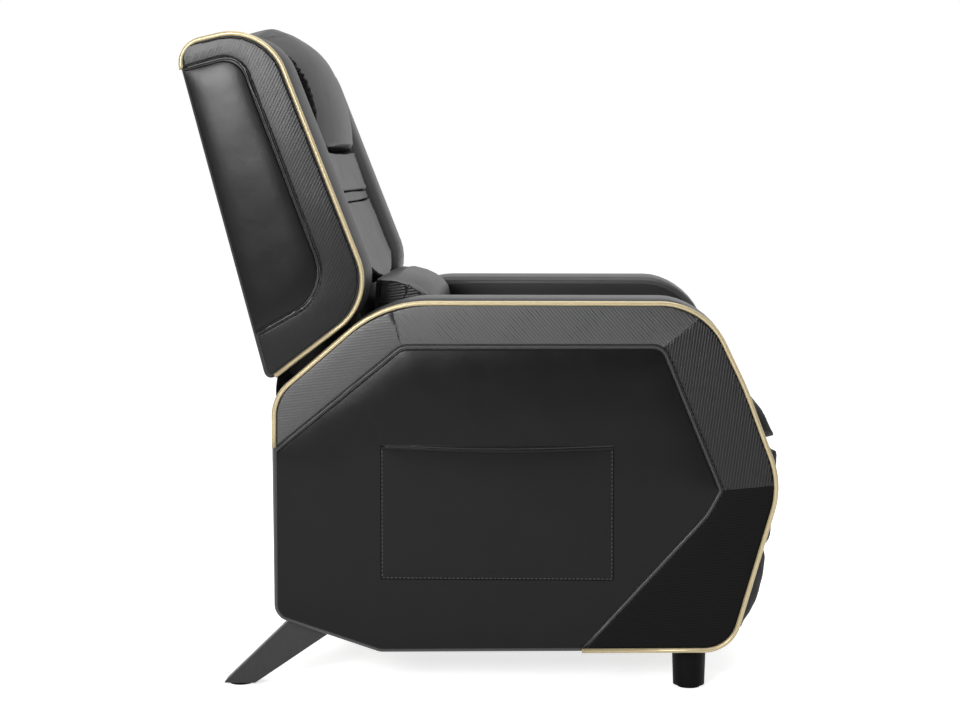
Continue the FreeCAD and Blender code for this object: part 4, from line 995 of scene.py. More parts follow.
@dataclass
class Wing:
    """A side wing of the back, with a smooth outer panel inside a ribbed band."""

    side: Side
    outer_y: float = 0.366
    inner_y: float = 0.236
    rim: float = 0.006
    outline: tuple[Corner, ...] = (
        (-0.055, 0.104, 0.012), (0.138, 0.178, 0.090), (0.100, 0.621, 0.085), (-0.041, 0.629, 0.037))
    seam: Seam = Seam((
        (-0.0375, 0.5880, 0.0), (0.0457, 0.5859, 0.033), (0.0740, 0.2104, 0.065), (-0.0475, 0.1826, 0.0)))
    panel_puff: Puff = Puff(edge=0.0018, swell=0.0024, reach=0.012)
    band_puff: Puff = Puff(edge=0.0018, swell=0.0006, reach=0.006, rumple=0.0002)
    top_radius: float = 0.018
    panel_inset: float = 0.0035
    stitch_rise: float = 0.0022
    strip: Range = (0.258, 0.296)
    strip_facing: float = 0.25
    core_shares: tuple[float, ...] = (0.1, 0.25, 0.4, 0.55, 0.7, 0.82, 0.92, 1.0)
    core_steps: int = 8
    rim_steps: int = 4
    front_climb: Range = (-0.045, 0.13)
    climb_power: float = 1.5
    crown: float = 0.009
    tuck: float = 0.012
    tuck_power: int = 8

    def ends(self, inset: float) -> tuple[Line, Line]:
        """The rear edge at an inset, which the seam starts and ends on."""
        edge = drawn_in(self.outline, inset)
        return (edge[3], edge[0]), (edge[3], edge[0])

    def band(self) -> list[Corner]:
        """The corners of the band, from the rear round the front and the top and back along the seam."""
        edge = drawn_in(self.outline, self.rim)
        return [*edge[:3], (*edge[3][:2], self.top_radius), *self.seam.outside(self.ends(self.rim))]

    def core(self) -> bmesh.types.BMesh:
        """The padded core, which swells forwards between its two faces."""
        depth = self.outer_y - self.inner_y

        def swell(spot: Vector, share: float) -> Vector:
            """How far the front swells."""
            front = climb(spot.x, self.front_climb) ** self.climb_power
            rise = self.crown * math.sin(math.pi * share) - self.tuck * share ** self.tuck_power
            return Vector((front * rise, 0.0, 0.0))

        core = drawn_out(self.outline, [share * depth for share in self.core_shares], swell, self.core_steps)
        round_rim(core, 0.0, self.rim, self.rim_steps)
        for y in self.strip:
            slice_through(core, (0.0, self.outer_y - y, 0.0), (0.0, 1.0, 0.0))
        return core

    @staticmethod
    def band_finish(face: bmesh.types.BMFace) -> Finish:
        """Ribs, or plain hide on the band's back."""
        return SMOOTH if face.normal.y > SIDEWAYS else WING_RIBS

    def core_finish(self, face: bmesh.types.BMFace) -> Finish:
        """Ribbed on the strip that runs down the front, plain elsewhere, with painted shade in the dull, darker
        hide on faces that look up.
        """
        inset = self.outer_y - face.calc_center_median().y
        on_strip = self.strip[0] < inset < self.strip[1] and face.normal.x > self.strip_facing
        return WING_RIBS if on_strip else shade_top_faces(face)

    def build(self) -> None:
        """Builds the wing's cover and hands it over."""
        cover = Cover(f"{self.side.value}_wing_upholstery", self.side.flip @ BACK)
        face = Matrix.Translation((0.0, -self.outer_y, 0.0))
        ends = self.ends(self.panel_inset)
        cover.sew_on(self.core(), self.core_finish, face)
        cover.sew_on(self.panel_puff.stuff(self.seam.inside(ends)), SMOOTH, face)
        cover.sew_on(self.band_puff.stuff(self.band()), self.band_finish, face)
        cover.sew_on(self.seam.strip(ends), WING_WELT_HIDE, face)
        cover.sew_on(self.seam.stitches(self.stitch_rise, self.ends(self.rim)), THREAD, face)
        cover.hand_over("backrest", [f"{self.side.value}_wing"], fill=0.85)


def baked(piece: bpy.types.Object) -> bpy.types.Mesh:
    """The mesh of an object with its modifiers applied."""
    graph = bpy.context.evaluated_depsgraph_get()
    return bpy.data.meshes.new_from_object(piece.evaluated_get(graph))


def spots_of(mesh: bpy.types.Mesh) -> np.ndarray:
    """The places of a mesh's points, one row each."""
    spots = np.empty(len(mesh.vertices) * 3)
    mesh.vertices.foreach_get("co", spots)
    return spots.reshape(-1, 3)


def normals_of(mesh: bpy.types.Mesh) -> np.ndarray:
    """The way out at each of a mesh's points, one row each."""
    out = np.empty(len(mesh.vertices) * 3)
    mesh.vertices.foreach_get("normal", out)
    return out.reshape(-1, 3)


def ease(mesh: bpy.types.Mesh, rounds: int, draw_in: float = 0.5, let_out: float = -0.53) -> None:
    """Smooths a mesh's points in rounds that draw in and let out again, so that it doesn't shrink.

    Args:
        mesh: The mesh.
        rounds: How many rounds.
        draw_in: How far a point goes towards the middle of its neighbours, as a share.
        let_out: How far it comes back, below 0.
    """
    ends = np.empty(len(mesh.edges) * 2, dtype=np.int32)
    mesh.edges.foreach_get("vertices", ends)
    a, b = ends.reshape(-1, 2).T
    count = np.maximum(1, np.bincount(ends, minlength=len(mesh.vertices)))[:, None]
    spots = spots_of(mesh)
    for factor in (draw_in, let_out) * rounds:
        around = np.zeros_like(spots)
        np.add.at(around, a, spots[b])
        np.add.at(around, b, spots[a])
        spots += factor * (around / count - spots)
    mesh.vertices.foreach_set("co", spots.ravel())
    mesh.update()


def smooth_step(value: np.ndarray, low: float, high: float) -> np.ndarray:
    """0 below low, 1 above high and a smooth climb between them."""
    share = np.clip((value - low) / (high - low), 0.0, 1.0)
    return share * share * (3.0 - 2.0 * share)


def wander(spots: np.ndarray, size: float) -> np.ndarray:
    """A smooth random value from -1 to 1 at each place."""
    return np.array([noise.noise(Vector(spot) / size) for spot in spots])


@dataclass
class Cushion:
    """A cushion whose cover is blown out by its filling, within the room it has."""

    name: str
    body: str
    nodes: tuple[str, ...]
    low: tuple[float, float, float]
    high: tuple[float, float, float]
    place: Matrix
    shape: Move
    cap: float
    voxel: float = 0.006
    pressure: float = 4.0
    frames: int = 20
    fill: float = 0.8
    fine: bool = True
    weave_rounds: int = 8
    rounds: int = 24
    detail: Optional[Move] = None
    finish: Union[Finish, Choice] = SOFT
    rows: tuple[tuple[list[Vector], Vector], ...] = ()
    stitch_rise: float = 0.0002

    def start(self) -> bpy.types.Mesh:
        """An evenly woven cover over the nodes that the cushion stands for."""
        cover = bmesh.new()
        for node in self.nodes:
            cover.from_mesh(frame["nodes"][node].data)
        bmesh.ops.remove_doubles(cover, verts=cover.verts[:], dist=MERGE_REACH)
        solid = BVHTree.FromBMesh(cover)
        mesh = bpy.data.meshes.new(self.name)
        cover.to_mesh(mesh)
        cover.free()
        holder = put_in_scene("holder", mesh)
        weave = holder.modifiers.new("weave", "REMESH")
        weave.mode = "VOXEL"
        weave.voxel_size = self.voxel
        woven = baked(holder)
        bpy.data.objects.remove(holder)
        for point in woven.vertices:
            point.co = solid.find_nearest(point.co)[0]
        ease(woven, self.weave_rounds)
        return woven

    def blow_out(self, mesh: bpy.types.Mesh) -> None:
        """Blows a cover out by simulation and moves its points there, no further than the cap."""
        holder = put_in_scene("holder", mesh.copy())
        cloth = holder.modifiers.new("filling", "CLOTH")
        cloth.settings.use_pressure = True
        cloth.settings.uniform_pressure_force = self.pressure
        cloth.settings.effector_weights.gravity = 0.0
        for step in range(1, self.frames + 1):
            bpy.context.scene.frame_set(step)
        rest = spots_of(mesh)
        move = spots_of(baked(holder)) - rest
        bpy.context.scene.frame_set(1)
        bpy.data.objects.remove(holder)
        reach = np.linalg.norm(move, axis=1, keepdims=True)
        move *= np.minimum(1.0, self.cap / np.maximum(reach, TINY))
        mesh.vertices.foreach_set("co", (rest + move).ravel())
        mesh.update()

    def moved(self, mesh: bpy.types.Mesh, move: Move) -> np.ndarray:
        """A mesh's points in the cushion's own place, after a move."""
        into = np.array(self.place.inverted())
        spots = spots_of(mesh) @ into[:3, :3].T + into[:3, 3]
        return spots + move(spots, normals_of(mesh) @ into[:3, :3].T)

    def put_back(self, mesh: bpy.types.Mesh, spots: np.ndarray) -> None:
        """Puts points of the cushion's own place back into a mesh."""
        out_of = np.array(self.place)
        mesh.vertices.foreach_set("co", (spots @ out_of[:3, :3].T + out_of[:3, 3]).ravel())
        mesh.update()

    def keep_in(self, mesh: bpy.types.Mesh) -> None:
        """Shapes a cover within the cushion's room, eases it and adds its detail."""
        self.put_back(mesh, np.clip(self.moved(mesh, self.shape), self.low, self.high))
        ease(mesh, self.rounds)
        if self.detail:
            self.put_back(mesh, self.moved(mesh, self.detail))

    def build(self) -> None:
        """Builds the cushion and hands it over."""
        mesh = self.start()
        self.blow_out(mesh)
        if self.fine:
            holder = put_in_scene("holder", mesh)
            finer = holder.modifiers.new("finer", "SUBSURF")
            finer.levels = 1
            finer.render_levels = 1
            mesh = baked(holder)
            bpy.data.objects.remove(holder)
        self.keep_in(mesh)
        cover = Cover(self.name)
        piece = bmesh.new()
        piece.from_mesh(mesh)
        bpy.data.meshes.remove(mesh)
        rows = [Stitching().sew(path, raised_on(piece, ahead, self.stitch_rise)) for path, ahead in self.rows]
        cover.sew_on(piece, self.finish)
        for row in rows:
            cover.sew_on(row, THREAD)
        cover.hand_over(self.body, self.nodes, fill=self.fill)


def raised_on(cover: bmesh.types.BMesh, ahead: Vector, proud: float, stand_off: float = 0.5) -> Lay:
    """Gives a function that puts a place on a cover.

    Args:
        cover: The cover's mesh.
        ahead: The way to look from the place to the cover.
        proud: How far off the cover to stay.
        stand_off: How far back from the place to look from.

    Returns:
        A function from a place to the place on the cover and the way out there.
    """
    tree = BVHTree.FromBMesh(cover)

    def lay(spot: Vector) -> tuple[Vector, Vector]:
        """Puts one place on the cover."""
        hit, out, _, _ = tree.ray_cast(spot - ahead * stand_off, ahead)
        if hit is None:
            hit, out, _, _ = tree.find_nearest(spot)
        return hit + out * proud, out

    return lay


def soft_rumple(spots: np.ndarray, out: np.ndarray, depth: float = 0.0007, size: float = 0.12) -> np.ndarray:
    """Lets a cover wander in and out a little.

    Args:
        spots: The cover's points.
        out: The way out at each of them.
        depth: How far they wander.
        size: How wide the waves are.

    Returns:
        How far each point moves.
    """
    return out * (depth * wander(spots, size))[:, None]


@dataclass(frozen=True)
class Front:
    """Draws a cushion's front out to a profile that is full across its width, with rounded ends."""

    heights: tuple[float, ...]
    reaches: tuple[float, ...]
    half: float
    radius: float = 0.012
    span: Range = (-1.0, 2.0)
    facing: Range = (0.25, 0.7)
    spread: float = 0.0
    blur: float = 0.0
    blur_steps: int = 7

    def pull(self, spots: np.ndarray, out: np.ndarray) -> np.ndarray:
        """How far each point moves forwards."""
        low, high = self.span
        up = spots[:, 2]
        inset = np.minimum(self.half - np.abs(spots[:, 1]), np.minimum(up - low, high - up))
        near = np.clip(1.0 - inset / self.radius, 0.0, 1.0)
        shifts = np.linspace(-self.blur, self.blur, self.blur_steps)
        target = np.mean([np.interp(up + shift, self.heights, self.reaches) for shift in shifts], axis=0)
        target -= self.radius * (1.0 - np.sqrt(1.0 - near ** 2))
        return smooth_step(out[:, 0], *self.facing) * (target - spots[:, 0])

    def __call__(self, spots: np.ndarray, out: np.ndarray) -> np.ndarray:
        """How far each point moves, with some rumpling."""
        move = soft_rumple(spots, out)
        move[:, 0] += self.pull(spots, out)
        move[:, 2] += self.spread * out[:, 2]
        return move


UPPER_PAD_FRONT = Front((0.350, 0.394, 0.422), (0.1165, 0.1145, 0.1130), 0.217, 0.005, (0.347, 0.4255),
                        spread=0.003)
PAD_BAND_FRONT = Front((0.335, 0.351), (0.1145, 0.1135), 0.217, 0.003, (0.332, 0.354), spread=0.003)
LOWER_PAD_FRONT = Front((0.190, 0.2035, 0.266, 0.3035, 0.334), (0.1310, 0.1295, 0.1225, 0.1195, 0.1155),
                        0.217, 0.005, (0.1, 0.339), spread=0.003)


@dataclass(frozen=True)
class Headrest:
    """The headrest pillow's form: full in front, falling away to its ends and gathered at its end seams."""

    front: Front = Front(
        (0.4265, 0.44, 0.46, 0.50, 0.54, 0.577, 0.606, 0.632, 0.646),
        (0.129, 0.134, 0.138, 0.1405, 0.138, 0.130, 0.114, 0.088, 0.060), 0.234, 0.010, blur=0.014)
    recess: float = 0.036
    recess_power: float = 2.5
    recess_facing: Range = (0.1, 0.5)
    tip: float = 0.045
    tip_heights: Range = (0.625, 0.640)
    tip_facing: Range = (-0.6, 0.3)
    fall: float = 0.20
    fall_from: float = 0.53
    fall_across: Range = (0.08, 0.232)
    pucker: float = 0.0024
    pucker_pitch: float = 0.013
    pucker_slant: float = 0.6
    pucker_sink: float = 0.6
    pucker_across: Range = (0.20, 0.226)
    pucker_heights: Range = (0.50, 0.55)
    stray: float = 2.0
    stray_size: float = 0.03

    def shape(self, spots: np.ndarray, out: np.ndarray) -> np.ndarray:
        """Fills the front and lets the top fall towards the ends."""
        across = np.abs(spots[:, 1])
        up = spots[:, 2]
        move = self.front(spots, out)
        ends = (across / self.front.half) ** self.recess_power
        move[:, 0] -= self.recess * ends * smooth_step(out[:, 0], *self.recess_facing)
        tip = self.tip * smooth_step(up, *self.tip_heights)
        move[:, 0] -= tip * smooth_step(-out[:, 0], *self.tip_facing)
        fall = self.fall * np.maximum(0.0, up - self.fall_from)
        move[:, 2] -= fall * smooth_step(across, *self.fall_across)
        return move

    def puckers(self, spots: np.ndarray, out: np.ndarray) -> np.ndarray:
        """Gathers the cover along the seams at the ends."""
        near = smooth_step(np.abs(spots[:, 1]), *self.pucker_across)
        near *= smooth_step(spots[:, 2], *self.pucker_heights)
        turns = (spots[:, 2] - self.pucker_slant * spots[:, 0]) * 2.0 * math.pi / self.pucker_pitch
        ripple = np.sin(turns + self.stray * wander(spots, self.stray_size))
        return out * (self.pucker * near * (ripple - self.pucker_sink))[:, None]


@dataclass(frozen=True)
class Lumbar:
    """The loose lumbar pillow's form: a crowned top and flat, ribbed end caps with stitches round each."""

    half: float = 0.223
    depths: tuple[float, ...] = (
        -0.175, -0.160, -0.146, -0.133, -0.111, -0.096, -0.084, -0.074, -0.069, -0.066)
    crown: tuple[float, ...] = (0.612, 0.6174, 0.6210, 0.6240, 0.6192, 0.6133, 0.6058, 0.594, 0.579, 0.55)
    ends: tuple[float, ...] = (0.611, 0.6150, 0.6140, 0.6125, 0.6045, 0.5945, 0.584, 0.570, 0.55, 0.52)
    crown_power: int = 3
    top_facing: Range = (0.1, 0.4)
    cap_facing: Range = (0.3, 0.6)
    cap_edge: float = 0.62
    cap_heights: tuple[float, ...] = (0.447, 0.55, 0.585, 0.594, 0.604, 0.612, 0.615)
    cap_fronts: tuple[float, ...] = (-0.084, -0.084, -0.0885, -0.097, -0.109, -0.128, -0.156)
    row_heights: Range = (0.452, 0.61)
    row_points: int = 24
    row_lead: float = 0.003
    row_y: float = 0.2

    def finish(self, face: bmesh.types.BMFace) -> Finish:
        """Ribbed on the end caps, soft elsewhere."""
        return CAP_RIBS if abs(face.normal.y) > self.cap_edge else SOFT

    def shape(self, spots: np.ndarray, out: np.ndarray) -> np.ndarray:
        """Fills the top out to its profile and flattens the ends."""
        move = soft_rumple(spots, out)
        crown = np.interp(spots[:, 0], self.depths, self.crown)
        ends = np.interp(spots[:, 0], self.depths, self.ends)
        aside = np.minimum(1.0, np.abs(spots[:, 1]) / self.half) ** self.crown_power
        top = crown + (ends - crown) * aside
        move[:, 2] += smooth_step(out[:, 2], *self.top_facing) * (top - spots[:, 2])
        flat = smooth_step(np.abs(out[:, 1]), *self.cap_facing)
        move[:, 1] += flat * (np.sign(spots[:, 1]) * self.half - spots[:, 1])
        return move

    def row(self, side: float) -> tuple[list[Vector], Vector]:
        """The stitches' row round one end cap, at the side with the given sign, and the way to look at it."""
        heights = np.linspace(*self.row_heights, self.row_points)
        fronts = np.interp(heights, self.cap_heights, self.cap_fronts) + self.row_lead
        return [Vector((x, side * self.row_y, z)) for x, z in zip(fronts, heights)], Vector((0.0, -side, 0.0))


def grooves(spots: np.ndarray, out: np.ndarray, lines: Sequence[np.ndarray], depth: float,
            width: float) -> np.ndarray:
    """Draws a cover in along seams.

    Args:
        spots: The cover's points.
        out: The way out at each of them.
        lines: For each seam, how far each point lies from it.
        depth: How far the seam is drawn in.
        width: How wide the hollow is.

    Returns:
        How far each point moves.
    """
    pull = sum(np.exp(-(line / width) ** 2) for line in lines)
    return -out * (depth * np.minimum(1.0, pull))[:, None]


@dataclass(frozen=True)
class Seat:
    """The seat cushion's form: a rounded nose, with two long seams and a seam across its front."""

    front: Front = Front(
        (0.366, 0.370, 0.3765, 0.3874, 0.4015, 0.414, 0.425, 0.4335, 0.446),
        (0.4500, 0.4572, 0.455, 0.4502, 0.4439, 0.4376, 0.4298, 0.422, 0.400), 0.2535, 0.02)
    seam_y: float = 0.178
    seam_x: float = 0.345
    seam_depth: float = 0.006
    seam_width: float = 0.007
    nose_share: float = 0.6
    top_facing: Range = (0.2, 0.6)
    far: float = 1.0

    def shape(self, spots: np.ndarray, out: np.ndarray) -> np.ndarray:
        """Sews the seams in and fills the nose."""
        top = smooth_step(out[:, 2] + self.nose_share * np.maximum(0.0, out[:, 0]), *self.top_facing)
        across = np.abs(spots[:, 1])
        sides = np.abs(across - self.seam_y)
        front = np.where(across < self.seam_y, np.abs(spots[:, 0] - self.seam_x), self.far)
        move = grooves(spots, out, [sides, front], self.seam_depth, self.seam_width) * top[:, None]
        return move + self.front(spots, out)


@dataclass(frozen=True)
class Footrest:
    """The footrest pad's form: two soft rolls, one above the other, with a seam near each side."""

    front: Front = Front(
        (0.077, 0.086, 0.0975, 0.112, 0.131, 0.147, 0.161, 0.175, 0.186, 0.194, 0.199, 0.204, 0.215,
         0.25, 0.28, 0.331, 0.3545),
        (0.4064, 0.4134, 0.421, 0.4288, 0.4349, 0.4387, 0.4417, 0.4432, 0.4439, 0.4425, 0.438, 0.4445, 0.4505,
         0.4555, 0.458, 0.4607, 0.4587), 0.2505, 0.014)
    seam_y: float = 0.178
    seam_depth: float = 0.005
    seam_width: float = 0.006
    facing: Range = (0.3, 0.7)
    stretch: float = 0.4
    stretch_from: float = 0.33

    def shape(self, spots: np.ndarray, out: np.ndarray) -> np.ndarray:
        """Sews the seams in, fills the rolls and draws the top edge up."""
        front = smooth_step(out[:, 0], *self.facing)
        sides = np.abs(np.abs(spots[:, 1]) - self.seam_y)
        move = grooves(spots, out, [sides], self.seam_depth, self.seam_width) * front[:, None]
        move += self.front(spots, out)
        move[:, 2] += self.stretch * np.maximum(0.0, spots[:, 2] - self.stretch_from)
        return move


@dataclass
class Back:
    """The body of the back, between the wings, with its stiff rear panel."""

    half: float = 0.236
    outline: tuple[Corner, ...] = (
        (-0.024, 0.066, 0.012), (0.002, 0.022, 0.012), (0.060, 0.006, 0.012), (0.082, 0.018, 0.012),
        (0.096, 0.190, 0.012), (0.066, 0.610, 0.024), (-0.040, 0.622, 0.024), (-0.040, 0.114, 0.006))
    rear_panel: tuple[Corner, ...] = (
        (-0.234, 0.124, 0.012), (0.234, 0.124, 0.012), (0.234, 0.614, 0.012), (-0.234, 0.614, 0.012))
    rear_puff: Puff = Puff(edge=0.003, swell=0.006, reach=0.04, rumple=0.0008)
    rear_x: float = -0.0405
    sections: int = 10
    swell: float = 0.004
    rear_share: float = -0.4
    middle_x: float = 0.03

    def build(self) -> None:
        """Builds the body's cover and the rear panel's, and hands them over."""

        def swell(spot: Vector, share: float) -> Vector:
            """How far the front and rear swell."""
            middle = math.sin(math.pi * min(1.0, max(0.0, share)))
            front = 1.0 if spot.x > self.middle_x else self.rear_share
            return Vector((self.swell * front * middle, 0.0, 0.0))

        width = 2.0 * self.half
        depths = [width * i / self.sections for i in range(1, self.sections + 1)]
        body = Cover("back_upholstery", BACK)
        start = Matrix.Translation((0.0, -self.half, 0.0))
        # Faces that look up take the dull, darker copy of the hide as painted shade, the rest soft hide.
        body.sew_on(drawn_out(self.outline, depths, swell), shade_top_faces, start)
        body.hand_over("backrest", ["back_body"], fill=0.7)
        rear = Cover("back_rear_panel", BACK)
        facing_rear = Matrix.Rotation(-math.pi / 2.0, 4, "Z")
        turn = Matrix.Translation((self.rear_x, 0.0, 0.0)) @ facing_rear
        # The rear panel is all in the dull, darker copy of the hide: painted shade.
        rear.sew_on(self.rear_puff.stuff(self.rear_panel), SHADE_DULLED_HIDE, turn)
        rear.hand_over("backrest", ["back_outer_panel"], fill=0.4)


@dataclass
class Pocket:
    """The side pocket: a patch sewn to the right arm on three sides, with a hem along its open top."""

    low: Point = (-0.146, 0.174)
    high: Point = (0.205, 0.379)
    base_y: float = 0.3802
    corner: float = 0.006
    patch_puff: Puff = Puff(edge=0.0016, swell=0.0018, reach=0.02, rumple=0.0005, lump=0.07)
    welt: float = 0.0022
    welt_puff: Puff = Puff(edge=0.0026, swell=0.0002, reach=0.002, rumple=0.0001, hems=(0.0005, 0.0007))
    hem: float = 0.008
    hem_puff: Puff = Puff(edge=0.0036, swell=0.0012, reach=0.004, hems=(0.0006, 0.001))
    hem_sag: float = 0.005
    hem_bulge: float = 0.0016
    # How far up a face of the hem must look to get the painted highlight.
    hem_highlight_facing: float = 0.3
    stitch_inset: float = 0.0012
    stitch_drop: float = 0.002
    stitch_rise: float = 0.0029

    def patch(self) -> tuple[Corner, ...]:
        """The patch's corners."""
        (x0, z0), (x1, z1) = self.low, self.high
        return (x0, z0, self.corner), (x1, z0, self.corner), (x1, z1, 0.0), (x0, z1, 0.0)

    def welts(self) -> tuple[Corner, ...]:
        """The corners of the turned-in edge along the three sewn sides."""
        (x0, z0), (x1, z1) = self.low, self.high
        w = self.welt
        inner = ((x1 - w, z1, 0.0), (x1 - w, z0 + w, 0.0), (x0 + w, z0 + w, 0.0), (x0 + w, z1, 0.0))
        return (x0, z0, self.corner), (x1, z0, self.corner), (x1, z1, 0.0), *inner, (x0, z1, 0.0)

    def stitches(self) -> bmesh.types.BMesh:
        """A row of stitches inside the turned-in edge."""
        (x0, z0), (x1, z1) = self.low, self.high
        inside = self.welt + self.stitch_inset
        left, right, foot, top = x0 + inside, x1 - inside, z0 + inside, z1 - self.stitch_drop
        corners = ((left, top), (left, foot), (right, foot), (right, top))
        return Stitching().sew([Vector((x, -self.stitch_rise, z)) for x, z in corners], TOWARDS_RIGHT)

    def hem_roll(self) -> bmesh.types.BMesh:
        """The hem along the open top, which sags and stands out in its middle."""
        x0, x1, z1 = self.low[0], self.high[0], self.high[1]
        edge = ((x0, z1 - self.hem, 0.0), (x1, z1 - self.hem, 0.0), (x1, z1, 0.0), (x0, z1, 0.0))
        roll = self.hem_puff.stuff(edge)
        for v in roll.verts:
            share = (v.co.x - x0) / (x1 - x0)
            middle = math.sin(math.pi * share)
            v.co.z -= self.hem_sag * middle
            v.co.y -= self.hem_bulge * middle
        roll.normal_update()
        return roll

    def hem_highlight_finish(self, face: bmesh.types.BMFace) -> Finish:
        """Painted highlight: the lighter soft hide on the hem's upper side, smooth hide elsewhere."""
        return SOFT if face.normal.z > self.hem_highlight_facing else SMOOTH

    def build(self) -> None:
        """Builds the pocket and hands it over."""
        cover = Cover("side_pocket_patch")
        face = Matrix.Translation((0.0, -self.base_y, 0.0))
        cover.sew_on(self.patch_puff.stuff(self.patch()), SMOOTH, face)
        cover.sew_on(self.welt_puff.stuff(self.welts()), SMOOTH, face)
        cover.sew_on(self.stitches(), GREY_THREAD, face)
        cover.sew_on(self.hem_roll(), self.hem_highlight_finish, face)
        piece = cover.hand_over("base", ["side_pocket"])


@dataclass
class Cloths:
    """The lining cloths: the one that bridges the gap behind the hinge, and the one under the seat."""

    thickness: float = 0.0012
    gusset_half: float = 0.2535
    gusset_x: float = -0.3095
    gusset_lean: float = 0.006
    gusset_sag: float = 0.004
    gusset_bulge: float = 2.0
    gusset_ripple: float = 0.5
    gusset_ripples: Range = (9.0, 2.0)
    gusset_hem: float = 0.006
    gusset_steps: tuple[int, int] = (60, 24)
    underside_sag: float = 0.006
    underside_wave: float = 0.0006
    underside_waves: float = 7.0
    underside_gap: float = 0.0002
    underside_steps: tuple[int, int] = (28, 48)

    @staticmethod
    def flat(steps: tuple[int, int]) -> bmesh.types.BMesh:
        """A flat cloth of unit size round the origin."""
        cloth = bmesh.new()
        bmesh.ops.create_grid(cloth, x_segments=steps[0], y_segments=steps[1], size=0.5)
        return cloth

    def lined(self, cloth: bmesh.types.BMesh, name: str) -> Cover:
        """A cover of lining made from a thin sheet, which is used up."""
        bmesh.ops.solidify(cloth, geom=cloth.faces[:], thickness=self.thickness)
        bmesh.ops.recalc_face_normals(cloth, faces=cloth.faces[:])
        cover = Cover(name)
        cover.sew_on(cloth, LINING)
        return cover

    def gusset(self) -> None:
        """Builds the cloth that bridges the gap between the back and the base."""
        low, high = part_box("rear_gusset")
        cloth = self.flat(self.gusset_steps)
        along, up = self.gusset_ripples
        for v in cloth.verts:
            share = v.co.y + 0.5
            ripple = 1.0 + self.gusset_ripple * noise.noise(Vector((v.co.x * along, share * up, 0.0)))
            sag = self.gusset_sag * math.sin(math.pi * share) * ripple
            x = self.gusset_x - self.gusset_lean * share ** 2 - self.gusset_bulge * sag
            v.co = Vector((x, 2.0 * v.co.x * self.gusset_half, low.z + share * (high.z - low.z)))
        piece = self.lined(cloth, "rear_gusset_cloth").sewn()
        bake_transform(piece)
        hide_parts("rear_gusset")
        log.info("%s: %d faces between base and backrest", piece.name, len(piece.data.polygons))

    def dust_cover(self) -> None:
        """Builds the cloth that closes the underside, which sags between the rails."""
        low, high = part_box("dust_cover")
        cloth = self.flat(self.underside_steps)
        for v in cloth.verts:
            middle = math.cos(math.pi * v.co.x)
            sag = self.underside_sag * middle * math.cos(math.pi * v.co.y)
            wave = self.underside_wave * noise.noise(v.co * self.underside_waves) * middle
            x = low.x + (v.co.x + 0.5) * (high.x - low.x)
            y = low.y + (v.co.y + 0.5) * (high.y - low.y)
            v.co = Vector((x, y, high.z - self.underside_gap - sag + wave))
        piece = self.lined(cloth, "underside_cloth").hand_over("base", ["dust_cover"], slot=CLOTH)

    def build(self) -> None:
        """Builds both cloths."""
        self.gusset()
        self.dust_cover()


@dataclass
class Hardware:
    """The legs, frame and mechanism, which keep the frame's own shapes."""

    def finishes(self) -> dict[str, Finish]:
        """The finish of each of the record's material slots."""
        return {"black_plastic": PLASTIC, "black_wood": PAINTED_WOOD, "plain_wood": BARE_WOOD,
                "black_steel": BLACK_STEEL, "bright_steel": BRIGHT_STEEL, CLOTH: LINING, "gold_cord": GOLD,
                HIDE: SMOOTH}

    def build(self) -> None:
        """Gives each of the frame's nodes its finish."""
        finishes = self.finishes()
        for row in frame["record"]["subparts"]:
            node = frame["nodes"][row["node"]]
            for slot in node.material_slots:
                slot.material = finish_of(finishes[row["material_slot"]])
            log.info("%s: %s", row["node"], row["material_slot"])


@dataclass
class Piping:
    """A run of gold piping, smoothed from the frame's own."""

    node: str
    body: str

    def build(self) -> None:
        """Builds the piping and hands it over."""
        cover = Cover(f"{self.node}_cord")
        run = bmesh.new()
        run.from_mesh(frame["nodes"][self.node].data)
        bmesh.ops.remove_doubles(run, verts=run.verts[:], dist=MERGE_REACH)
        cover.sew_on(run, GOLD)
        cover.hand_over(self.body, [self.node], slot="gold_cord")


@dataclass(frozen=True)
class Softbox:
    """A square softbox: where it hangs, what it points at, its side and its power in watts."""

    name: str
    place: tuple[float, float, float]
    target: tuple[float, float, float]
    size: float
    power: float

    def hang(self) -> None:
        """Hangs it in the scene."""
        light = bpy.data.lights.new(self.name, "AREA")
        light.size = self.size
        light.energy = self.power
        lamp = put_in_scene(self.name, light)
        lamp.location = self.place
        lamp.rotation_euler = (Vector(self.target) - Vector(self.place)).to_track_quat("-Z", "Y").to_euler()


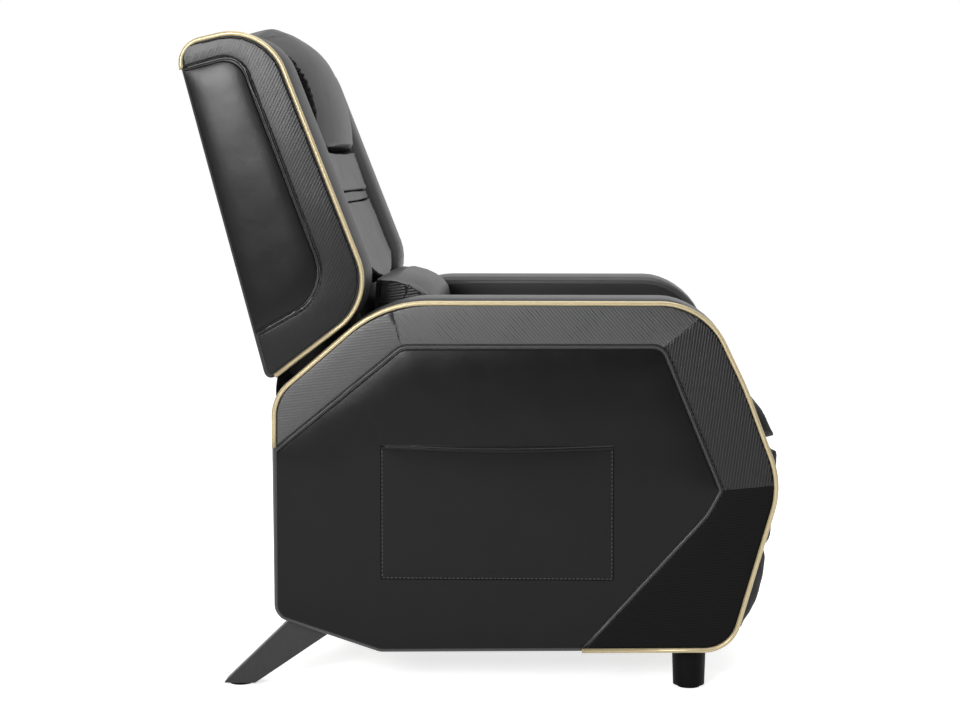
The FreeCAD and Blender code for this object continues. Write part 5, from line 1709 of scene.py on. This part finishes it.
@dataclass
class Studio:
    """The plain white studio that the recliner stands in."""

    camera_place: tuple[float, float, float] = (0.1367, -3.4105, 0.7939)
    camera_tilt: float = 3.27
    camera_turn: float = 1.69
    lens: float = 76.5
    sensor: float = 36.0
    shift: Range = (-0.03, -0.08)
    turn_to_white: Range = (-0.45, 0.5)
    air_light: Range = (0.10, 0.60)
    white: tuple[float, ...] = (1.0, 1.0, 1.0, 1.0)
    floor_colour: tuple[float, ...] = (0.85, 0.85, 0.85, 1.0)
    floor_gloss: float = 0.9
    floor_shine: float = 0.1
    floor_glow: float = 0.74
    floor_size: float = 30.0
    floor_steps: int = 8
    softboxes: tuple[Softbox, ...] = (
        Softbox("key_softbox", (-0.95, -3.35, 1.34), (-0.2, -0.37, 0.7), 0.72, 85.0),
        Softbox("overhead_softbox", (0.2, -0.5, 3.1), (0.0, 0.0, 0.5), 2.2, 55.0),
        Softbox("front_softbox", (2.6, -1.2, 1.9), (0.0, 0.0, 0.6), 1.6, 14.0),
        Softbox("rear_softbox", (-2.2, 1.6, 2.4), (0.0, 0.0, 0.6), 1.6, 24.0))

    def camera(self) -> None:
        """Sets the camera where the photograph was taken from."""
        lens = bpy.data.cameras.new("camera")
        lens.lens = self.lens
        lens.sensor_width = self.sensor
        lens.sensor_fit = "HORIZONTAL"
        lens.shift_x, lens.shift_y = self.shift
        camera = put_in_scene("camera", lens)
        camera.location = self.camera_place
        tilt = math.radians(QUARTER_TURN - self.camera_tilt)
        camera.rotation_euler = (tilt, 0.0, math.radians(self.camera_turn))
        bpy.context.scene.camera = camera

    @staticmethod
    def sum_of(tree: bpy.types.NodeTree, operation: str, a: bpy.types.NodeSocket,
               b: bpy.types.NodeSocket) -> bpy.types.NodeSocket:
        """The result of a sum of two sockets."""
        node = tree.nodes.new("ShaderNodeMath")
        node.operation = operation
        tree.links.new(a, node.inputs[0])
        tree.links.new(b, node.inputs[1])
        return node.outputs["Value"]

    def surround(self) -> None:
        """Makes the air white to look at, and as a light bright behind the recliner and dim before it."""
        world = bpy.data.worlds.new("studio")
        bpy.context.scene.world = world
        world.use_nodes = True
        tree = world.node_tree
        tree.nodes.clear()
        rays = tree.nodes.new("ShaderNodeLightPath")
        way = tree.nodes.new("ShaderNodeSeparateXYZ")
        tree.links.new(tree.nodes.new("ShaderNodeTexCoord").outputs["Generated"], way.inputs["Vector"])
        back = tree.nodes.new("ShaderNodeMapRange")
        back.interpolation_type = "SMOOTHSTEP"
        back.inputs["From Min"].default_value, back.inputs["From Max"].default_value = self.turn_to_white
        tree.links.new(way.outputs["Y"], back.inputs["Value"])
        mirrored = self.sum_of(tree, "MULTIPLY", rays.outputs["Is Glossy Ray"], back.outputs["Result"])
        seen = self.sum_of(tree, "MAXIMUM", rays.outputs["Is Camera Ray"],
                           rays.outputs["Is Transmission Ray"])
        seen = self.sum_of(tree, "MAXIMUM", seen, mirrored)
        level = tree.nodes.new("ShaderNodeMapRange")
        level.inputs["To Min"].default_value, level.inputs["To Max"].default_value = self.air_light
        tree.links.new(back.outputs["Result"], level.inputs["Value"])
        light = tree.nodes.new("ShaderNodeBackground")
        tree.links.new(level.outputs["Result"], light.inputs["Strength"])
        white = tree.nodes.new("ShaderNodeBackground")
        white.inputs["Color"].default_value = self.white
        light.inputs["Color"].default_value = self.white
        mix = tree.nodes.new("ShaderNodeMixShader")
        tree.links.new(seen, mix.inputs["Fac"])
        tree.links.new(light.outputs["Background"], mix.inputs[1])
        tree.links.new(white.outputs["Background"], mix.inputs[2])
        output = tree.nodes.new("ShaderNodeOutputWorld")
        tree.links.new(mix.outputs["Shader"], output.inputs["Surface"])

    def floor(self) -> None:
        """Lays a pale floor that stays white to look at, but for the recliner's shadow."""
        shader = Shader("pale_floor")
        shader.set(Base_Color=self.floor_colour, Roughness=self.floor_gloss)
        shader.set(Specular_IOR_Level=self.floor_shine)
        rays = shader.add("ShaderNodeLightPath")
        seen = self.sum_of(shader.tree, "MAXIMUM", rays.outputs["Is Camera Ray"],
                           rays.outputs["Is Glossy Ray"])
        seen = self.sum_of(shader.tree, "MAXIMUM", seen, rays.outputs["Is Transmission Ray"])
        glow = shader.spread(seen, 0.0, self.floor_glow)
        shader.set(Emission_Color=self.white, Emission_Strength=glow)
        slab = bmesh.new()
        steps = self.floor_steps
        bmesh.ops.create_grid(slab, x_segments=steps, y_segments=steps, size=self.floor_size)
        mesh = bpy.data.meshes.new("floor")
        slab.to_mesh(mesh)
        slab.free()
        mesh.materials.append(shader.material)
        put_in_scene("floor", mesh)

    def build(self) -> None:
        """Sets up the camera, the light, the air and the floor."""
        bpy.context.scene.view_settings.view_transform = "Standard"
        self.camera()
        self.surround()
        self.floor()
        for softbox in self.softboxes:
            softbox.hang()


def cushions() -> tuple[Cushion, ...]:
    """The cushions and pads, each with the room that it has."""
    here = Matrix.Identity(4)
    headrest = Headrest()
    lumbar = Lumbar()
    return (
        Cushion("headrest_cushion", "backrest", ("headrest_pillow",), (0.0, -0.234, 0.4245),
                (0.17, 0.234, 0.644), BACK, headrest.shape, cap=0.004, fill=0.75, detail=headrest.puckers),
        Cushion("upper_back_cushion", "backrest", ("upper_back_pad",), (0.05, -0.217, 0.3485),
                (0.17, 0.217, 0.424), BACK, UPPER_PAD_FRONT, cap=0.003, voxel=0.005, rounds=10),
        Cushion("back_band_cushion", "backrest", ("back_pad_band",), (0.05, -0.217, 0.333),
                (0.17, 0.217, 0.3525), BACK, PAD_BAND_FRONT, cap=0.0015, voxel=0.004, rounds=4),
        Cushion("lower_back_cushion", "backrest", ("lower_back_pad",), (0.05, -0.217, 0.188),
                (0.17, 0.217, 0.338), BACK, LOWER_PAD_FRONT, cap=0.003, voxel=0.005, rounds=10),
        Cushion("lumbar_cushion", "lumbar", ("lumbar_pillow",), (-0.175, -0.228, 0.4463),
                (-0.064, 0.228, 0.6245), here, lumbar.shape, cap=0.008, fill=0.7, rounds=8,
                finish=lumbar.finish, rows=(lumbar.row(-1.0), lumbar.row(1.0))),
        Cushion("seat_upholstery", "seat", ("seat_cushion",), (-0.155, -0.2535, 0.366),
                (0.468, 0.2535, 0.48), here, Seat().shape, cap=0.012, fine=False, rounds=6),
        Cushion("footrest_upholstery", "footrest", ("footrest_pad",), (0.37, -0.252, 0.05),
                (0.468, 0.252, 0.3652), here, Footrest().shape, cap=0.008, fine=False, rounds=6),
    )


def main() -> None:
    """Builds every piece of the recliner in turn."""
    logging.basicConfig(level=logging.INFO, format="%(message)s")
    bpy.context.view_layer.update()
    Studio().build()
    Hardware().build()
    for cushion in cushions():
        cushion.build()
    Back().build()
    Pocket().build()
    Cloths().build()
    for side in Side:
        Arm(side).build()
        Wing(side).build()
        Piping(f"{side.value}_arm_piping", "base").build()
        Piping(f"{side.value}_wing_piping", "backrest").build()


if __name__ == "__main__":
    main()
